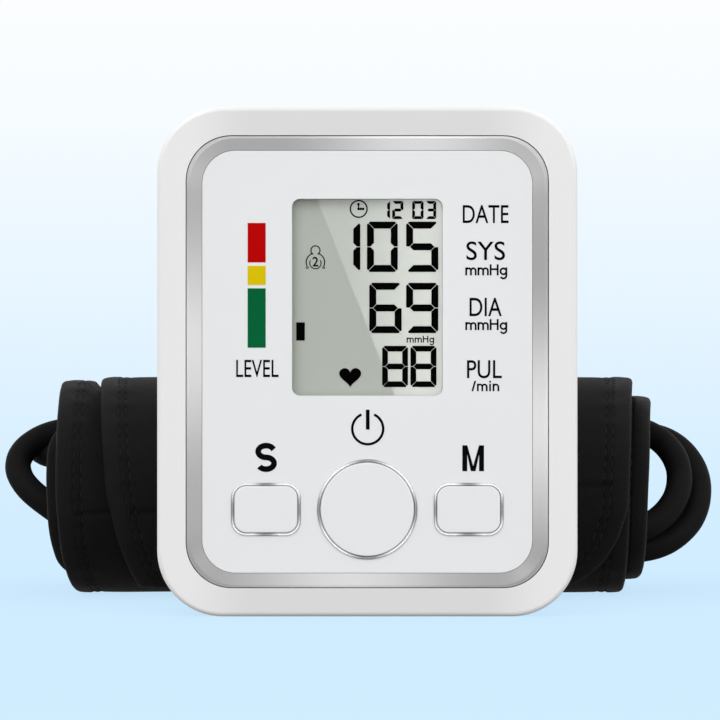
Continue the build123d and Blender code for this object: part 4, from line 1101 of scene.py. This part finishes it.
def hose():
    """The hose as one smooth curve."""
    curve = bpy.data.curves.new("air_hose", "CURVE")
    curve.dimensions = "3D"
    spline = curve.splines.new("NURBS")
    spline.points.add(len(hose_points) - 1)
    for point, place in zip(spline.points, hose_points):
        point.co = (*place, 1.0)
    spline.order_u = 3
    spline.use_endpoint_u = True
    spline.resolution_u = 8
    curve.bevel_depth = HOSE_D / 2
    curve.bevel_resolution = 6
    curve.use_fill_caps = True
    curve.materials.append(HOSE)
    piece = new_piece("air_hose", curve, "cuff")
    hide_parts("hose_lead", "hose_coil", "hose_tail")
    return piece


air_hose = hose()

# ---------------------------------------- stage, light and camera

CAMERA_PLACE = (-0.00172, -0.82, 0.0604)
LIGHT_TARGET = (0, 0.03, 0.05)


def backdrop():
    """Floor that sweeps up into a back wall, pale blue below and white above."""
    depth, height, width, radius, near = 1.6, 1.6, 3.0, 0.5, -2.2
    steps = 12
    profile = [(near, 0.0), (depth - radius, 0.0)]
    for k in range(1, steps + 1):
        a = math.radians(90 * k / steps)
        profile.append((depth - radius + radius * math.sin(a), radius - radius * math.cos(a)))
    profile.append((depth, height))
    verts = [(x, y, z) for y, z in profile for x in (-width, width)]
    faces = [(2 * k, 2 * k + 1, 2 * k + 3, 2 * k + 2) for k in range(len(profile) - 1)]
    material, tree, shader = new_material("backdrop_paper")
    axes = world_place(tree)[1]
    rise = calculate(tree, "MULTIPLY_ADD", axes["Y"], 0.05, axes["Z"])
    paper = ramp(tree, remap(tree, rise, 0.0, 0.4), (0.0, (0.592, 0.816, 1.0, 1.0)),
                 (0.3, (0.735, 0.88, 1.0, 1.0)), (0.6, (0.863, 0.939, 0.995, 1.0)),
                 (0.78, (0.94, 0.98, 1.0, 1.0)), (1.0, (1.0, 1.0, 0.991, 1.0)))
    feed(shader, Emission_Color=paper.outputs["Color"], Emission_Strength=0.9,
         Base_Color=(0.08, 0.09, 0.10, 1.0), Roughness=0.9, Specular_IOR_Level=0.0)
    piece = place_object("backdrop", new_mesh("backdrop", verts, faces, material, smooth=True))
    piece.visible_diffuse = False
    piece.visible_glossy = False


def glare_card():
    """Bright card behind the camera that the display's glass mirrors as a slanted sheen."""
    reach = 1.6
    stretch = reach / (LCD_Y - CAMERA_PLACE[1])

    def mirrored(x, z):
        """Place on the card that the camera sees in the glass at x, z."""
        return (x + (x - CAMERA_PLACE[0]) * stretch, LCD_Y - reach,
                z + (z - CAMERA_PLACE[2]) * stretch)

    # the sheen's outline on the glass
    corners = ((-0.0119, 0.0986), (0.0190, 0.0986), (0.0190, 0.0516), (0.0066, 0.0516))
    verts = [mirrored(*corner) for corner in corners]
    material, tree, shader = new_material("glare_light")
    start, end = mirrored(-0.006, 0.09)[0], mirrored(0.016, 0.09)[0]
    glow = remap(tree, world_place(tree)[1]["X"], start, end, 3.2, 9.0)
    feed(shader, Base_Color=grey(0.0), Emission_Color=grey(1.0), Emission_Strength=glow)
    piece = place_object("glare_card", new_mesh("glare_card", verts, [(3, 2, 1, 0)], material))
    piece.visible_camera = False
    piece.visible_shadow = False


def studio_dome():
    """Soft light from all round, darker from below."""
    world = bpy.data.worlds.new("studio")
    bpy.context.scene.world = world
    world.use_nodes = True
    tree = world.node_tree
    aim = add(tree, "TexCoord").outputs["Generated"]
    height = add(tree, "SeparateXYZ", Vector=aim).outputs["Z"]
    dome = ramp(tree, remap(tree, height, -1.0, 1.0), (0.15, grey(0.22)), (0.6, grey(1.0)))
    feed(tree.nodes["Background"], Strength=1.04, Color=dome.outputs["Color"])


def area_light(name, place, power):
    """Square soft box of one metre, aimed at the object."""
    data = bpy.data.lights.new(name, "AREA")
    data.shape = "RECTANGLE"
    data.size = data.size_y = 1.0
    data.energy = power
    light = place_object(name, data)
    light.location = place
    aim = Vector(LIGHT_TARGET) - Vector(place)
    light.rotation_euler = aim.to_track_quat("-Z", "Y").to_euler()


def main_camera():
    """Camera straight in front, where the photograph was taken from."""
    data = bpy.data.cameras.new("camera")
    data.lens = 170
    data.sensor_width = 36
    data.clip_start = 0.01
    camera = place_object("camera", data)
    camera.location = CAMERA_PLACE
    camera.rotation_euler = (math.radians(90), 0, 0)
    bpy.context.scene.camera = camera
    bpy.context.scene.view_settings.view_transform = "Standard"


backdrop()
glare_card()
studio_dome()
area_light("key", (-0.9, -1.2, 1.3), 9.0)
area_light("fill", (1.2, -1.0, 0.9), 6.0)
main_camera()
